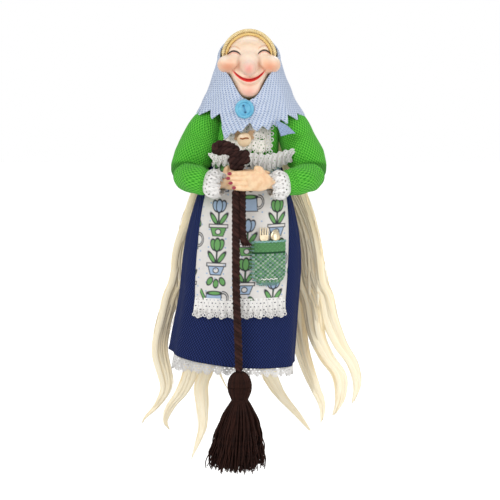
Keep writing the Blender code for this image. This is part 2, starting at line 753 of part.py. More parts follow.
def make_clothes():
    drops = spread(SHOULDER_DROP + GAP, WAIST_DROP, (0.0, 0.12, 0.30, 0.6, 1.0)) + [BODICE_END_DROP]
    sheet("bodice", [body_ring(d, BODICE_OUT) for d in drops], CLOTH, GREEN_CLOTH, closed=True)
    drops = spread(SKIRT_TOP_DROP, HEM_DROP, (0.0, 0.07, 0.16, 0.28, 0.46, 0.72, 1.0))
    sheet("skirt", [body_ring(d, SKIRT_OUT) for d in drops], CLOTH, NAVY_CLOTH, closed=True)
    top = CORE_END_DROP + GAP + BASE_THICKNESS + GAP
    rows = []
    for s in (0.0, 0.5, 1.0):
        rows.append(body_ring(top + (UNDERSKIRT_END_DROP - top) * s, 0, 68, UNDERSKIRT_WAVE * s, 17))
    sheet("underskirt_frill", rows, UNDERSKIRT_THICKNESS, WHITE_LACE, closed=True)


def make_apron():
    rows = []
    for s in (0.0, 0.1, 0.22, 0.38, 0.6, 0.8, 1.0):
        drop = APRON_TOP_DROP + (APRON_END_DROP - APRON_TOP_DROP) * s
        left, right = (a + (b - a) * s for a, b in zip(APRON_TOP_SHARES, APRON_END_SHARES))
        rows.append(front_row(drop, APRON_OUT, left, right, 14))
    sheet("apron", rows, THIN_CLOTH, APRON_CLOTH)
    columns = 4 * SCALLOP_COUNT
    rows = [front_row(APRON_END_DROP + GAP, APRON_OUT, *APRON_END_SHARES, columns)]
    rows.append(front_row(APRON_LACE_END_DROP - SCALLOP_DEPTH, APRON_OUT, *APRON_END_SHARES, columns))
    low = []
    for k, point in enumerate(rows[-1]):
        rise = SCALLOP_DEPTH * 0.85 * (1 - abs(math.sin(math.pi * k / 4)))
        low.append(front_point(point.x, APRON_LACE_END_DROP - rise, APRON_OUT))
    rows.append(low)
    sheet("apron_lace", rows, THIN_CLOTH, WHITE_LACE)


def make_breast_lace():
    rows = []
    for s in (0.0, 0.5, 1.0):
        rows.append(front_row(FRILL_TOP_DROP + (FRILL_END_DROP - FRILL_TOP_DROP) * s, LACE_OUT, -0.96, 0.96, 18))
    sheet("waist_frill", rows, THIN_CLOTH, WHITE_LACE)
    rows = []
    for s in (0.0, 0.35, 0.7, 1.0):
        drop = JABOT_TOP_DROP + (JABOT_END_DROP - JABOT_TOP_DROP) * s
        rows.append(front_row(drop, LACE_OUT, -0.66 + 0.1 * s, 0.72 - 0.06 * s, 14))
    sheet("jabot", rows, THIN_CLOTH, IVORY_LACE)


def surface_frame(point, across, upward):
    """A frame on a surface: x across, z out of the surface, y up along it."""
    side = across.normalized()
    out = side.cross(upward.normalized()).normalized()
    rise = out.cross(side)
    frame = Matrix((side, rise, out)).transposed().to_4x4()
    frame.translation = point
    return frame


def button_profile(radius, thickness):
    """Dished middle, rim and rounded edge, from the front round to the back."""
    return [(0.62 * radius, 0.72 * thickness), (0.74 * radius, thickness), (0.90 * radius, thickness),
            (radius, 0.66 * thickness), (radius, 0.30 * thickness), (0.92 * radius, 0.0)]


def round_rings(profile):
    """Rings of points for a loft, from pairs of radius and height."""
    rings = []
    for radius, height in profile:
        turns = [2 * math.pi * k / ROUND_SIDES for k in range(ROUND_SIDES)]
        rings.append([Vector((radius * math.sin(t), -radius * math.cos(t), height)) for t in turns])
    return rings


def placed_turned(name, profile, frame, look, collection=None):
    thing = turned(name, profile, Vector((0, 0, 0)), Vector((0, 0, 1)), look, collection=collection)
    thing.matrix_world = frame
    return thing


def make_kerchief_button():
    turn = math.asin(BIG_BUTTON_SIDE / kerchief_sizes(BIG_BUTTON_DROP)[0])
    spot = kerchief_point(turn, BIG_BUTTON_DROP)
    across = kerchief_point(turn + 0.1, BIG_BUTTON_DROP) - kerchief_point(turn - 0.1, BIG_BUTTON_DROP)
    upward = kerchief_point(turn, BIG_BUTTON_DROP - OVERRUN) - kerchief_point(turn, BIG_BUTTON_DROP + OVERRUN)
    frame = surface_frame(spot, across, upward)
    seat = frame @ Matrix.Translation((0, 0, THIN_CLOTH + GAP))
    rings = round_rings(button_profile(BIG_BUTTON_RADIUS, BIG_BUTTON_THICKNESS))
    button = loft("kerchief_button", rings, BLUE_BUTTON)
    button.matrix_world = seat
    holes = Vector((math.sin(BUTTON_TILT), math.cos(BUTTON_TILT), 0)) * (BUTTON_HOLE_SPACING / 2)
    for side in (-1, 1):
        shape = bmesh.new()
        bmesh.ops.create_cone(shape, cap_ends=True, segments=11, radius1=BUTTON_HOLE_RADIUS, radius2=BUTTON_HOLE_RADIUS,
                              depth=BIG_BUTTON_THICKNESS + 2 * OVERRUN)
        hole = as_cutter(bmesh_object("button_hole", shape, None, cutters))
        hole.matrix_world = seat @ Matrix.Translation(holes * side + Vector((0, 0, BIG_BUTTON_THICKNESS / 2)))
        cut(button, hole)
    front = 0.72 * BIG_BUTTON_THICKNESS + THREAD_RADIUS + GAP
    route = []
    low = front - THREAD_RADIUS
    for share, height in ((-1, GAP), (-1, low), (-0.5, front), (0.5, front), (1, low), (1, GAP)):
        route.append(seat @ (holes * share + Vector((0, 0, height))))
    tube("button_thread", smooth_route(route, 2), THREAD_RADIUS, WHITE_LACE, resolution=1)


def make_jabot_button():
    spot = front_point(SMALL_BUTTON_SIDE, SMALL_BUTTON_DROP, LACE_OUT + THIN_CLOTH)
    across = front_point(SMALL_BUTTON_SIDE + OVERRUN, SMALL_BUTTON_DROP, LACE_OUT) - front_point(
        SMALL_BUTTON_SIDE - OVERRUN, SMALL_BUTTON_DROP, LACE_OUT)
    frame = surface_frame(spot, across, Vector((0, 0, 1)))
    outline = [(x * BOW_HALF_WIDTH, y * BOW_HALF_HEIGHT) for x, y in BOW_SHARES]
    bow = flat_outline("ribbon_bow", outline, BOW_THICKNESS, TAN_RIBBON)
    bow.matrix_world = frame @ Matrix.Translation((0, BOW_HALF_HEIGHT / 2, GAP + BOW_THICKNESS / 2))
    seat = frame @ Matrix.Translation((0, 0, GAP + BOW_THICKNESS + GAP))
    radius, thick = SMALL_BUTTON_RADIUS, SMALL_BUTTON_THICKNESS
    profile = [(0.0, thick), (0.45 * radius, 0.94 * thick), (0.80 * radius, 0.72 * thick), (radius, 0.34 * thick),
               (0.94 * radius, 0.0), (0.0, 0.0)]
    placed_turned("jabot_button", profile, seat, CREAM_BUTTON)


def flat_outline(name, points, thickness, look, collection=None):
    """A flat piece cut to an outline in local X and Y, half its thickness to each side."""
    curve = bpy.data.curves.new(name, "CURVE")
    curve.dimensions = "2D"
    curve.fill_mode = "BOTH"
    curve.extrude = thickness / 2
    spline = curve.splines.new("POLY")
    spline.points.add(len(points) - 1)
    for spot, (x, y) in zip(spline.points, points):
        spot.co = (x, y, 0.0, 1.0)
    spline.use_cyclic_u = True
    return add(name, curve, look, collection)


# Pocket, fork and spoon

def pocket_rows(top, end, left, right, out, columns):
    rows = []
    for s in (0.0, 0.5, 1.0):
        drop = top + (end - top) * s
        rows.append([front_point(left + (right - left) * k / columns, drop, out) for k in range(columns + 1)])
    return rows


def make_pocket():
    rows = pocket_rows(POCKET_TOP_DROP, POCKET_END_DROP, POCKET_LEFT, POCKET_RIGHT, POCKET_OUT, 10)
    pocket = sheet("pocket", rows, POCKET_DEPTH, POCKET_KNIT)
    rows = pocket_rows(POCKET_TOP_DROP - OVERRUN, POCKET_END_DROP - POCKET_SEAM, POCKET_LEFT + POCKET_SEAM,
                       POCKET_RIGHT - POCKET_SEAM, POCKET_OUT - OVERRUN, 10)
    hollow = sheet("pocket_hollow", rows, POCKET_DEPTH - POCKET_WALL + OVERRUN, None, collection=cutters)
    cut(pocket, as_cutter(hollow))


def cutlery_frame(side, tip_drop):
    """Frame at the tip: y up along the apron, x across it, z out, in the middle of the pocket's hollow."""
    out = POCKET_OUT + (POCKET_DEPTH - POCKET_WALL) / 2
    tip = front_point(side, tip_drop, out)
    foot = front_point(side, tip_drop + CUTLERY_LENGTH, out)
    middle = tip_drop + CUTLERY_LENGTH / 2
    across = front_point(side + OVERRUN, middle, out) - front_point(side - OVERRUN, middle, out)
    return surface_frame(tip, across, tip - foot)


def make_fork():
    width, length, half_handle = FORK_WIDTH, CUTLERY_LENGTH, CUTLERY_HANDLE_WIDTH / 2
    tine = width / 7
    points = [(-half_handle, -length), (half_handle, -length), (half_handle, -0.42 * length),
              (0.42 * width, -0.33 * length), (width / 2, -0.27 * length)]
    for k in reversed(range(4)):
        left = -width / 2 + 2 * tine * k
        points += [(left + tine, 0.0), (left + 0.4 * tine, 0.0), (left, -0.20 * length)]
        if k:
            points.append((left - tine, -0.20 * length))
    points += [(-width / 2, -0.27 * length), (-0.42 * width, -0.33 * length),
               (-half_handle, -0.42 * length)]
    fork = flat_outline("fork", points, CUTLERY_THICKNESS, GOLD)
    fork.matrix_world = cutlery_frame(FORK_SIDE, FORK_TIP_DROP)


def make_spoon():
    frame = cutlery_frame(SPOON_SIDE, SPOON_TIP_DROP)
    shape = bmesh.new()
    bmesh.ops.create_uvsphere(shape, u_segments=16, v_segments=10, radius=1)
    for vert in shape.verts:
        slim = 1 - 0.18 * vert.co.y
        vert.co = Vector((vert.co.x * SPOON_HALF_WIDTH * slim, (vert.co.y - 1) * SPOON_HALF_HEIGHT,
                          vert.co.z * SPOON_HALF_DEPTH))
    shape.transform(frame)
    bowl = bmesh_object("spoon", shape, GOLD)
    end = -CUTLERY_LENGTH
    start = -2 * SPOON_HALF_HEIGHT + SPOON_HALF_DEPTH
    handle = tube("spoon_handle", [frame @ Vector((0, y, 0)) for y in (start, (start + end) / 2, end)],
                  CUTLERY_HANDLE_WIDTH / 2, None, resolution=1, collection=cutters)
    join(bowl, [meshed(handle)])
    scoop = bmesh.new()
    bmesh.ops.create_uvsphere(scoop, u_segments=14, v_segments=8, radius=1)
    for vert in scoop.verts:
        vert.co = Vector((vert.co.x * 0.8 * SPOON_HALF_WIDTH, (vert.co.y * 0.8 - 1) * SPOON_HALF_HEIGHT,
                          (vert.co.z * 0.9 + 0.75) * SPOON_HALF_DEPTH))
    scoop.transform(frame)
    cut(bowl, as_cutter(bmesh_object("spoon_scoop", scoop, None, cutters)))


# Arms, cuffs and hands

def arm_points(side):
    """Centres of the upper sleeve from shoulder to elbow, and of the forearm from elbow to wrist."""
    elbow_reach = WRIST_REACH + ELBOW_OUTSIDE_WRIST
    shoulder_drop = SHOULDER_DROP + SLEEVE_RADIUS * 0.70
    fall = ELBOW_DROP - shoulder_drop
    reach = elbow_reach - SHOULDER_REACH
    upper = []
    for along, out, forward in UPPER_ARM_SHARES:
        x = side * (SHOULDER_REACH + reach * out)
        upper.append(down(x, -WRIST_FORWARD * forward, shoulder_drop + fall * along))
    elbow_drop = WRIST_DROP - 0.3 * FOREARM_RADIUS
    lower = []
    for t, forward in FOREARM_ROUTE_SHARES:
        x = elbow_reach - ELBOW_OUTSIDE_WRIST * t
        drop = elbow_drop + (WRIST_DROP - elbow_drop) * max(t, 0)
        lower.append(down(side * x, -WRIST_FORWARD * forward, drop))
    return upper, lower


def wrist_frame(side):
    """The wrist end of the forearm and the direction in which the forearm points."""
    upper, lower = arm_points(side)
    return lower[-1], (lower[-1] - lower[-2]).normalized()


def make_torso_cutter():
    """The torso in its bodice, as one solid that the sleeves are cut by."""
    drops = spread(SHOULDER_DROP + GAP, WAIST_DROP, (0.0, 0.12, 0.30, 0.6, 1.0))
    drops += [BODICE_END_DROP, BODICE_END_DROP + SLEEVE_RADIUS]
    return as_cutter(loft("torso_cutter", [body_ring(d, LACE_OUT + GAP) for d in drops], None, cutters))


def make_arm(label, side, torso):
    upper, lower = arm_points(side)
    sleeve = meshed(tube("sleeve_upper_" + label, smooth_route(upper, 2), SLEEVE_RADIUS, GREEN_CLOTH,
                         SLEEVE_SHARES, 3))
    forearm = meshed(tube("sleeve_forearm_" + label, smooth_route(lower, 3), FOREARM_RADIUS, GREEN_CLOTH,
                          FOREARM_SHARES, 3))
    cut(sleeve, torso)
    cut(forearm, swollen(sleeve, GAP))
    return sleeve, forearm


def make_cuff(label, side):
    """A ruffled lace ring round the wrist, flared towards the hand."""
    end, way = wrist_frame(side)
    hole = HAND_WRIST_RADIUS + 2 * GAP
    start = end + way * (2 * GAP)
    profile = [(hole, CUFF_LENGTH * 0.55), (hole + CUFF_WALL, CUFF_LENGTH), (CUFF_RADIUS, CUFF_LENGTH),
               (CUFF_RADIUS * 0.95, 0.45 * CUFF_LENGTH), (CUFF_RADIUS * 0.72, 0.0), (hole, 0.0),
               (hole, CUFF_LENGTH * 0.55)]
    turned("cuff_" + label, profile, start, way, WHITE_LACE, sides=24)


def make_hand(label, side, front):
    """A palm with a wrist, four fingers and a thumb; the front hand crosses over the cord, the other behind it."""
    end, way = wrist_frame(side)
    ahead = 1 if front else -1
    plane = -broom_reach() - ahead * (CORD_RADIUS + GAP + PALM_HALF_THICKNESS)
    palm_share = 0.20 if front else 0.38
    palm = down(side * HAND_LENGTH * palm_share, plane, GRIP_DROP)
    shape = bmesh.new()
    bmesh.ops.create_uvsphere(shape, u_segments=14, v_segments=8, radius=1)
    for vert in shape.verts:
        vert.co = palm + Vector((vert.co.x * HAND_LENGTH * 0.26, vert.co.y * PALM_HALF_THICKNESS,
                                 vert.co.z * PALM_HALF_HEIGHT))
    hand = bmesh_object("hand_" + label, shape, HAND_SKIN)
    wrist = [end + way * (2 * GAP), end + way * (CUFF_LENGTH * 0.5), end + way * (CUFF_LENGTH * 1.05)]
    wrist += [(wrist[-1] + palm) / 2 + way * (FINGER_RADIUS / 2), palm]
    pieces = [tube("wrist", smooth_route(wrist, 2), HAND_WRIST_RADIUS, None, WRIST_SHARES, 2, cutters)]
    near = ahead * (PALM_HALF_THICKNESS - FINGER_RADIUS * 1.05)
    for k, tip in enumerate(FINGER_TIP_SHARES):
        height = PALM_HALF_HEIGHT * (0.72 - 0.48 * k)
        start = palm + Vector((0, near, height))
        bend = palm + Vector((-side * HAND_LENGTH * 0.28, near, height))
        point = Vector((side * HAND_LENGTH * tip, plane + near, -GRIP_DROP + height * 0.96))
        pieces.append(tube("finger", smooth_route([start, bend, point], 2), FINGER_RADIUS, None,
                           FINGER_SHARES, 2, cutters))
    lean = -0.10 if front else 0.10
    thumb = [palm + Vector((side * HAND_LENGTH * 0.10, 0, PALM_HALF_HEIGHT * 0.4)),
             palm + Vector((side * HAND_LENGTH * (0.05 + lean / 4), 0, PALM_HALF_HEIGHT * 1.1)),
             palm + Vector((side * HAND_LENGTH * lean, 0, PALM_HALF_HEIGHT * THUMB_RISE_SHARE))]
    pieces.append(tube("thumb", smooth_route(thumb, 2), THUMB_RADIUS, None, THUMB_SHARES, 2, cutters))
    join(hand, [meshed(piece) for piece in pieces])


# Cord broom

def broom_reach():
    """How far the cord hangs in front of the body axis, so that its tassel clears the lace below the hem."""
    lace = body_halves(UNDERSKIRT_END_DROP, UNDERSKIRT_WAVE + UNDERSKIRT_THICKNESS)[1]
    return lace + BULB_RADIUS + BROOM_CLEARANCE


def broom_point(drop, aside=0.0):
    return down(BROOM_SIDE + aside, -broom_reach(), drop)


def straight_cord(name, top, end, aside, radius, rounded_bottom):
    """A cord that hangs plumb, with half balls at its ends, and a point every two and a half diameters between."""
    ball = [0.0, 0.10, 0.30, 0.60, 1.0]
    shares = [math.sqrt(max(0.02, 1 - (1 - b) ** 2)) for b in ball]
    drops = [top + radius * b for b in ball]
    run = end - top - 2 * radius
    steps = max(2, round(run / (5 * radius)))
    drops += [top + radius + run * k / steps for k in range(1, steps)]
    shares += [1.0] * (steps - 1)
    if rounded_bottom:
        drops += [end - radius * b for b in reversed(ball)]
        shares += list(reversed(shares[:5]))
    else:
        drops += [end - radius, end]
        shares += [1.0, 0.8]
    return tube(name, [broom_point(d, aside) for d in drops], radius, BROWN_CORD, shares)


def tail_aside():
    return CORD_RADIUS + TAIL_RADIUS + GAP


def knot_top():
    """The coils of the knot end at a clearance above the thumbs."""
    return GRIP_DROP - THUMB_RISE_SHARE * PALM_HALF_HEIGHT - THUMB_RADIUS - KNOT_CLEARANCE - KNOT_PITCH


def make_broom():
    top = GRIP_END_DROP + GAP
    straight_cord("broom_cord", top, CORD_END_DROP, 0.0, CORD_RADIUS, True)
    straight_cord("broom_tail", top + TAIL_TOP_STEP, TAIL_END_DROP, tail_aside(), TAIL_RADIUS, False)
    centre = broom_point(knot_top())
    steps = 10
    points = []
    for k in range(round(KNOT_TURNS * steps) + 1):
        turn = math.pi * (1 + 2 * k / steps)
        wound = k / (KNOT_TURNS * steps)
        drop = knot_top() + KNOT_PITCH * k / steps
        if k > (KNOT_TURNS - 0.5) * steps:
            late = (k / steps - KNOT_TURNS + 0.5) * 2
            radius = (KNOT_RADIUS - CORD_RADIUS * 0.4) * (1 - late)
            drop = knot_top() + KNOT_PITCH * (KNOT_TURNS - 0.5 + 0.5 * late)
        else:
            radius = KNOT_RADIUS - CORD_RADIUS * 0.4 * wound
        points.append(down(centre.x + radius * math.cos(turn), centre.y + radius * math.sin(turn), drop))
    low = knot_top() + KNOT_PITCH * KNOT_TURNS
    points += [broom_point(low + (GRIP_END_DROP - low) * s) for s in (0.25, 0.6, 1.0)]
    tube("broom_knot", points, CORD_RADIUS, BROWN_CORD)
    edge = centre.x - KNOT_RADIUS - CORD_RADIUS - LOOP_RADIUS * 0.45
    route = [(edge + 0.2 * KNOT_RADIUS, -0.45 * KNOT_RADIUS), (edge - 0.25 * KNOT_RADIUS, -1.30 * KNOT_RADIUS),
             (edge - 1.1 * KNOT_RADIUS, -1.65 * KNOT_RADIUS), (edge - 1.75 * KNOT_RADIUS, -1.05 * KNOT_RADIUS),
             (edge - 1.45 * KNOT_RADIUS, -0.35 * KNOT_RADIUS), (edge - 0.75 * KNOT_RADIUS, -0.12 * KNOT_RADIUS)]
    points = [down(x, centre.y, knot_top() + step) for x, step in route]
    tube("broom_loop", smooth_route(points, 3), LOOP_RADIUS, BROWN_CORD)


def make_tassel():
    """Wound head, binding and fringe, hung just under the rounded end of the cord."""
    centre = broom_point(CORD_END_DROP)
    top = -GAP
    height = BULB_HEIGHT
    profile = [(0.0, top)]
    for k in range(1, 9):
        turn = math.pi * k / 10
        profile.append((BULB_RADIUS * math.sin(turn) ** 0.85, top - height * (1 - math.cos(turn)) / 2))
    profile.append((BINDING_RADIUS * 0.86, top - height))
    profile.append((0.0, top - height))
    turned("tassel_head", profile, centre, Vector((0, 0, 1)), BROWN_CORD, sides=24)
    top -= height + GAP
    ring = [(0.0, top), (BINDING_RADIUS * 0.88, top), (BINDING_RADIUS, top - 0.3 * BINDING_HEIGHT),
            (BINDING_RADIUS, top - 0.7 * BINDING_HEIGHT), (BINDING_RADIUS * 0.88, top - BINDING_HEIGHT),
            (0.0, top - BINDING_HEIGHT)]
    turned("tassel_binding", ring, centre, Vector((0, 0, 1)), BROWN_CORD, sides=24)
    top -= BINDING_HEIGHT + GAP
    fall = FRINGE_END_DROP - CORD_END_DROP + top
    rings = []
    for s in (0.0, 0.12, 0.35, 0.65, 0.9, 1.0):
        flare = (1 - math.exp(-2.6 * s)) / (1 - math.exp(-2.6))
        radius = BINDING_RADIUS * 0.92 + (FRINGE_RADIUS - BINDING_RADIUS) * flare
        ring = []
        for k in range(36):
            turn = 2 * math.pi * k / 36
            rib = 1 + 0.035 * s * (1 if k % 2 else -1)
            ring.append(centre + Vector((radius * rib * math.sin(turn), -radius * rib * math.cos(turn), top - fall * s)))
        rings.append(ring)
    sharpen(loft("tassel_fringe", rings, BROWN_CORD))


# Long hair

def hair_top_drop():
    return CAPE_FRONT_HEM_DROP + ZIGZAG_DEPTH + HAIR_TOP_CLEARANCE


def hair_back(x, drop):
    """Depth of the hair's inner side behind the body: an ellipse that widens down to the hem."""
    down_share = max(0.0, (drop - hair_top_drop()) / (HAIR_MASS_END_DROP - hair_top_drop()))
    down_share = math.sin(min(1.0, down_share) * math.pi / 2)
    arc = HAIR_TOP_ARC + (HAIR_END_ARC - HAIR_TOP_ARC) * min(1.0, down_share)
    if drop <= HAIR_MASS_END_DROP:
        back = HAIR_TOP_BACK + (HAIR_HIP_BACK - HAIR_TOP_BACK) * down_share
    else:
        low_share = min(1.0, (drop - HAIR_MASS_END_DROP) / (HEM_DROP - HAIR_MASS_END_DROP))
        back = HAIR_HIP_BACK + (HAIR_HEM_BACK - HAIR_HIP_BACK) * low_share
    share = (x - body_axis(min(drop, HEM_DROP))) / arc
    return (back - HAIR_THICKNESS / 2) * math.sqrt(max(0.12, 1 - share * share))


def make_long_hair():
    top = hair_top_drop() + GAP + HAIR_THICKNESS * HAIR_TILT_SHARE
    columns = 16
    rows = []
    for s in (0.0, 0.14, 0.32, 0.55, 0.78, 1.0):
        drop = top + (HAIR_MASS_END_DROP - top) * s
        half = HAIR_TOP_HALF_WIDTH + (HAIR_END_HALF_WIDTH - HAIR_TOP_HALF_WIDTH) * math.sin(s * math.pi / 2) ** 0.9
        row = []
        for k in range(columns + 1):
            x = half * (1 - 2 * k / columns)
            row.append(down(x, hair_back(x, drop), drop))
        rows.append(row)
    sheet("hair_back", rows, HAIR_THICKNESS, BLOND)
    nape_rows = []
    nape_top = CAP_END_DROP + 3 * GAP
    for s in (0.0, 0.4, 0.85, 1.0):
        drop = nape_top + (hair_top_drop() - nape_top) * s
        half = NAPE_TOP_HALF_WIDTH + (HAIR_TOP_HALF_WIDTH - NAPE_TOP_HALF_WIDTH) * s
        row = []
        for k in range(9):
            x = half * (1 - k / 4)
            y = NAPE_TOP_REACH + (hair_back(x, hair_top_drop()) - NAPE_TOP_REACH) * min(1.0, s / 0.85)
            row.append(down(x, y, drop))
        nape_rows.append(row)
    sheet("hair_nape", nape_rows, NAPE_THICKNESS, BLOND)
    fall = HAIR_END_DROP - HAIR_MASS_END_DROP
    for name, shares in LOCK_ROUTE_SHARES.items():
        size = LOCK_RADIUS * LOCK_SIZE_SHARES.get(name, 1.0)
        points = []
        for aside, along in shares:
            drop = HAIR_MASS_END_DROP + GAP + LOCK_RADIUS + fall * along
            x = HAIR_SPREAD * aside
            points.append(down(x, hair_back(x, drop) + HAIR_THICKNESS / 2, drop))
        start = points[0] - down(0, 0, LOCK_RADIUS)
        tube(name, [start] + smooth_route(points, 2), size, BLOND, LOCK_SHARES, 1)


def make_doll():
    global parts, cutters
    clear_scene()
    parts = new_collection(CLOTHES)
    cutters = new_collection("cutters")
    make_head()
    make_cap()
    make_plaits()
    make_kerchief()
    make_kerchief_button()
    make_body()
    make_clothes()
    make_apron()
    make_breast_lace()
    make_jabot_button()
    make_pocket()
    make_fork()
    make_spoon()
    torso = make_torso_cutter()
    for label, side in (("left", -1), ("right", 1)):
        make_arm(label, side, torso)
        make_cuff(label, side)
        make_hand(label, side, front=side > 0)
    make_broom()
    make_tassel()
    make_long_hair()


make_doll()
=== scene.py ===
"""Dressed hanging doll: painted head, kerchief, sewn clothes, lace, long hair and a cord broom.

Lengths in the formulas are millimetres in the part's frame: crown at the origin, face along -Y,
z up, and a drop is a length down from the crown. Left and right are the viewer's.
"""

import bpy
import numpy as np
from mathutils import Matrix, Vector


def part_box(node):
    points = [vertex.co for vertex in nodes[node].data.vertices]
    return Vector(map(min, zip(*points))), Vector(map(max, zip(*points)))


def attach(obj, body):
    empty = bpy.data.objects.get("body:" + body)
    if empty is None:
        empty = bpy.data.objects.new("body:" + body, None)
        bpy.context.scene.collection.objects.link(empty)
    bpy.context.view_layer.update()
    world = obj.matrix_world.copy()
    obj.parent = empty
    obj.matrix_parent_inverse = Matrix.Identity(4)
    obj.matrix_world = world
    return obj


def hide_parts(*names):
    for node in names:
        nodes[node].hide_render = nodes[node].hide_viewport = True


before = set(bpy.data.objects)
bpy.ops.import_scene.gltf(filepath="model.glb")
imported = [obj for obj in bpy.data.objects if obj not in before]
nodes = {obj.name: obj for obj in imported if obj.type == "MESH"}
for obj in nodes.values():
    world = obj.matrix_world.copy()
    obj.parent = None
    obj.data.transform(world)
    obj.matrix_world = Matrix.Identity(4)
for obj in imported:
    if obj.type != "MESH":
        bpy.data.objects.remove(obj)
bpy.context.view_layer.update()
PI = np.pi


# Helpers: numbers and points

def steps(count):
    return np.linspace(0, 1, count)


def circle(count):
    return 2 * PI * np.arange(count) / count


def ramp(value, low, high):
    """Zero below low, one above high, straight between them."""
    return np.clip((value - low) / (high - low), 0, 1)


def bell(value, width, power=2):
    """One in the middle, falling as the exponential of minus a power of value over width."""
    return np.exp(-(value / width) ** power)


def triangle(value):
    return np.abs(((value / PI) % 2) - 1)


def table(value, pairs):
    pairs = np.array(pairs)
    return np.interp(value, pairs[:, 0], pairs[:, 1])


def xyz(x, y, z):
    """Points of three coordinates, each spread to the shape of them all."""
    return np.stack(np.broadcast_arrays(x, y, z), -1)


def unit(ways):
    return ways / np.maximum(np.linalg.norm(ways, axis=-1, keepdims=True), 1e-9)


def run(path):
    """Length along a path up to each of its points."""
    return np.concatenate([[0], np.cumsum(np.linalg.norm(np.diff(path, axis=0), axis=1))])


def smooth_route(points, count):
    """Evenly read Catmull-Rom curve through the points, with the end points mirrored outwards."""
    points = np.asarray(points, float)
    ends = np.concatenate([[2 * points[0] - points[1]], points, [2 * points[-1] - points[-2]]])
    where = np.linspace(0, len(points) - 1, count)
    low = np.minimum(where.astype(int), len(points) - 2)
    t = (where - low)[:, None]
    a, b, c, d = [ends[low + k] for k in range(4)]
    return (2 * b + (c - a) * t + (2 * a - 5 * b + 4 * c - d) * t ** 2 + (3 * b - a - 3 * c + d) * t ** 3) / 2


def even(route, count):
    """The same line read again at even steps along its length."""
    length = run(route)
    where = np.linspace(0, length[-1], count)
    return np.stack([np.interp(where, length, route[:, k]) for k in range(route.shape[1])], 1)


# Helpers: materials

PER_MM = (1000.0, 1000.0, 1000.0)
BLACK, WHITE = (0, 0, 0, 1), (1, 1, 1, 1)


def linear(*display):
    """Display values from 0 to 255 as the linear values that a shader takes."""
    shares = np.array(display) / 255
    return np.where(shares <= 0.04045, shares / 12.92, ((shares + 0.055) / 1.055) ** 2.4)


def rgb(display):
    return (*linear(*display).tolist(), 1.0)


class Nodes:
    """Shader nodes made one call at a time. Each call gives the socket that the node puts out."""

    def __init__(self, tree):
        self.tree = tree

    def feed(self, socket, value):
        if isinstance(value, bpy.types.NodeSocket):
            self.tree.links.new(value, socket)
        else:
            socket.default_value = value

    def node(self, kind, inputs, out=0, **settings):
        made = self.tree.nodes.new("ShaderNode" + kind)
        for key, value in settings.items():
            setattr(made, key, value)
        for key, value in inputs.items():
            self.feed(made.inputs[key], value)
        return made.outputs[out]

    def maths(self, operation, a, b=0.0):
        return self.node("Math", {0: a, 1: b}, operation=operation)


class Finish(Nodes):
    """A Principled material of this object."""

    def __init__(self, name, roughness=0.8, **fixed):
        self.made = bpy.data.materials.new(name)
        self.made.use_nodes = True
        super().__init__(self.made.node_tree)
        self.sockets = self.tree.nodes["Principled BSDF"].inputs
        self.sockets["Roughness"].default_value = roughness
        for key, value in fixed.items():
            self.sockets[key.replace("_", " ")].default_value = value

    def mix(self, share, a, b, way="MIX"):
        return self.node("Mix", {0: share, 6: a, 7: b}, 2, data_type="RGBA", blend_type=way)

    def scaled(self, where, scale):
        return self.node("VectorMath", {0: where, 1: scale}, operation="MULTIPLY")

    def cloth_place(self):
        """The piece's own UV map, which counts millimetres across and down."""
        return self.node("UVMap", {}, uv_map="cloth")

    def place(self, scale=PER_MM):
        """Object coordinates times a scale per axis."""
        return self.scaled(self.node("TexCoord", {}, 3), scale)

    def noise(self, place, scale, detail=2.0):
        return self.node("TexNoise", {"Vector": place, "Scale": scale, "Detail": detail})

    def attribute(self, name, out=2):
        return self.node("Attribute", {}, out, attribute_name=name)

    def colour(self, value):
        self.feed(self.sockets["Base Color"], value)

    def relief(self, height, distance):
        bump = self.node("Bump", {"Height": height, "Distance": distance, "Strength": 1.0})
        self.feed(self.sockets["Normal"], bump)


def woven(name, dark, light, pitch, row, relief, low, high, roughness=0.9, sheen=0.15):
    """Basket weave: cosine across times cosine down is one lump per thread crossing, in offset rows.
    What lies below the low height gets painted shade and above the high one painted highlight; where the
    piece's own attribute marks the cloth, painted shade darkens it too."""
    dark, light = rgb(dark), rgb(light)
    cloth = Finish(name, roughness, Sheen_Weight=sheen, Specular_IOR_Level=0.2)
    parts = cloth.node("SeparateXYZ", {0: cloth.cloth_place()})
    a = cloth.maths("COSINE", cloth.maths("MULTIPLY", parts, 2 * PI / pitch))
    b = cloth.maths("COSINE", cloth.maths("MULTIPLY", parts.node.outputs[1], 2 * PI / row))
    lump = cloth.node("Math", {0: cloth.maths("MULTIPLY", a, b), 1: 0.5, 2: 0.5}, operation="MULTIPLY_ADD")
    fuzz = cloth.noise(cloth.cloth_place(), 1.4, 3.0)
    height = cloth.maths("ADD", lump, cloth.maths("MULTIPLY", fuzz, 0.25))
    # Painted light and shade: the hollows between the threads darker, the lumps lighter.
    tone = cloth.node("MapRange", {0: height, 1: low, 2: high})
    shadow = cloth.mix(0.65, dark, BLACK)
    # Painted shade where the piece's own attribute marks the cloth.
    cloth.colour(cloth.mix(cloth.attribute("fold_shade"), cloth.mix(tone, dark, light), shadow))
    cloth.relief(height, relief)
    return cloth.made


def threads(name, dark, light, roughness, around, along, relief, tones=True, **fixed):
    """Fine fibres along a strand: noise stretched along it, darkened by the strand's own tone."""
    fibre = Finish(name, roughness, **fixed)
    grain = fibre.noise(fibre.scaled(fibre.cloth_place(), (around, along, 1.0)), 1.0, 3.0)
    share = fibre.node("MapRange", {0: grain, 1: 0.3, 2: 0.7})
    if tones:
        share = fibre.maths("MULTIPLY", fibre.maths("ADD", share, fibre.attribute("tone")), 0.5)
    fibre.colour(fibre.mix(share, rgb(dark), rgb(light)))
    fibre.relief(grain, relief)
    return fibre.made


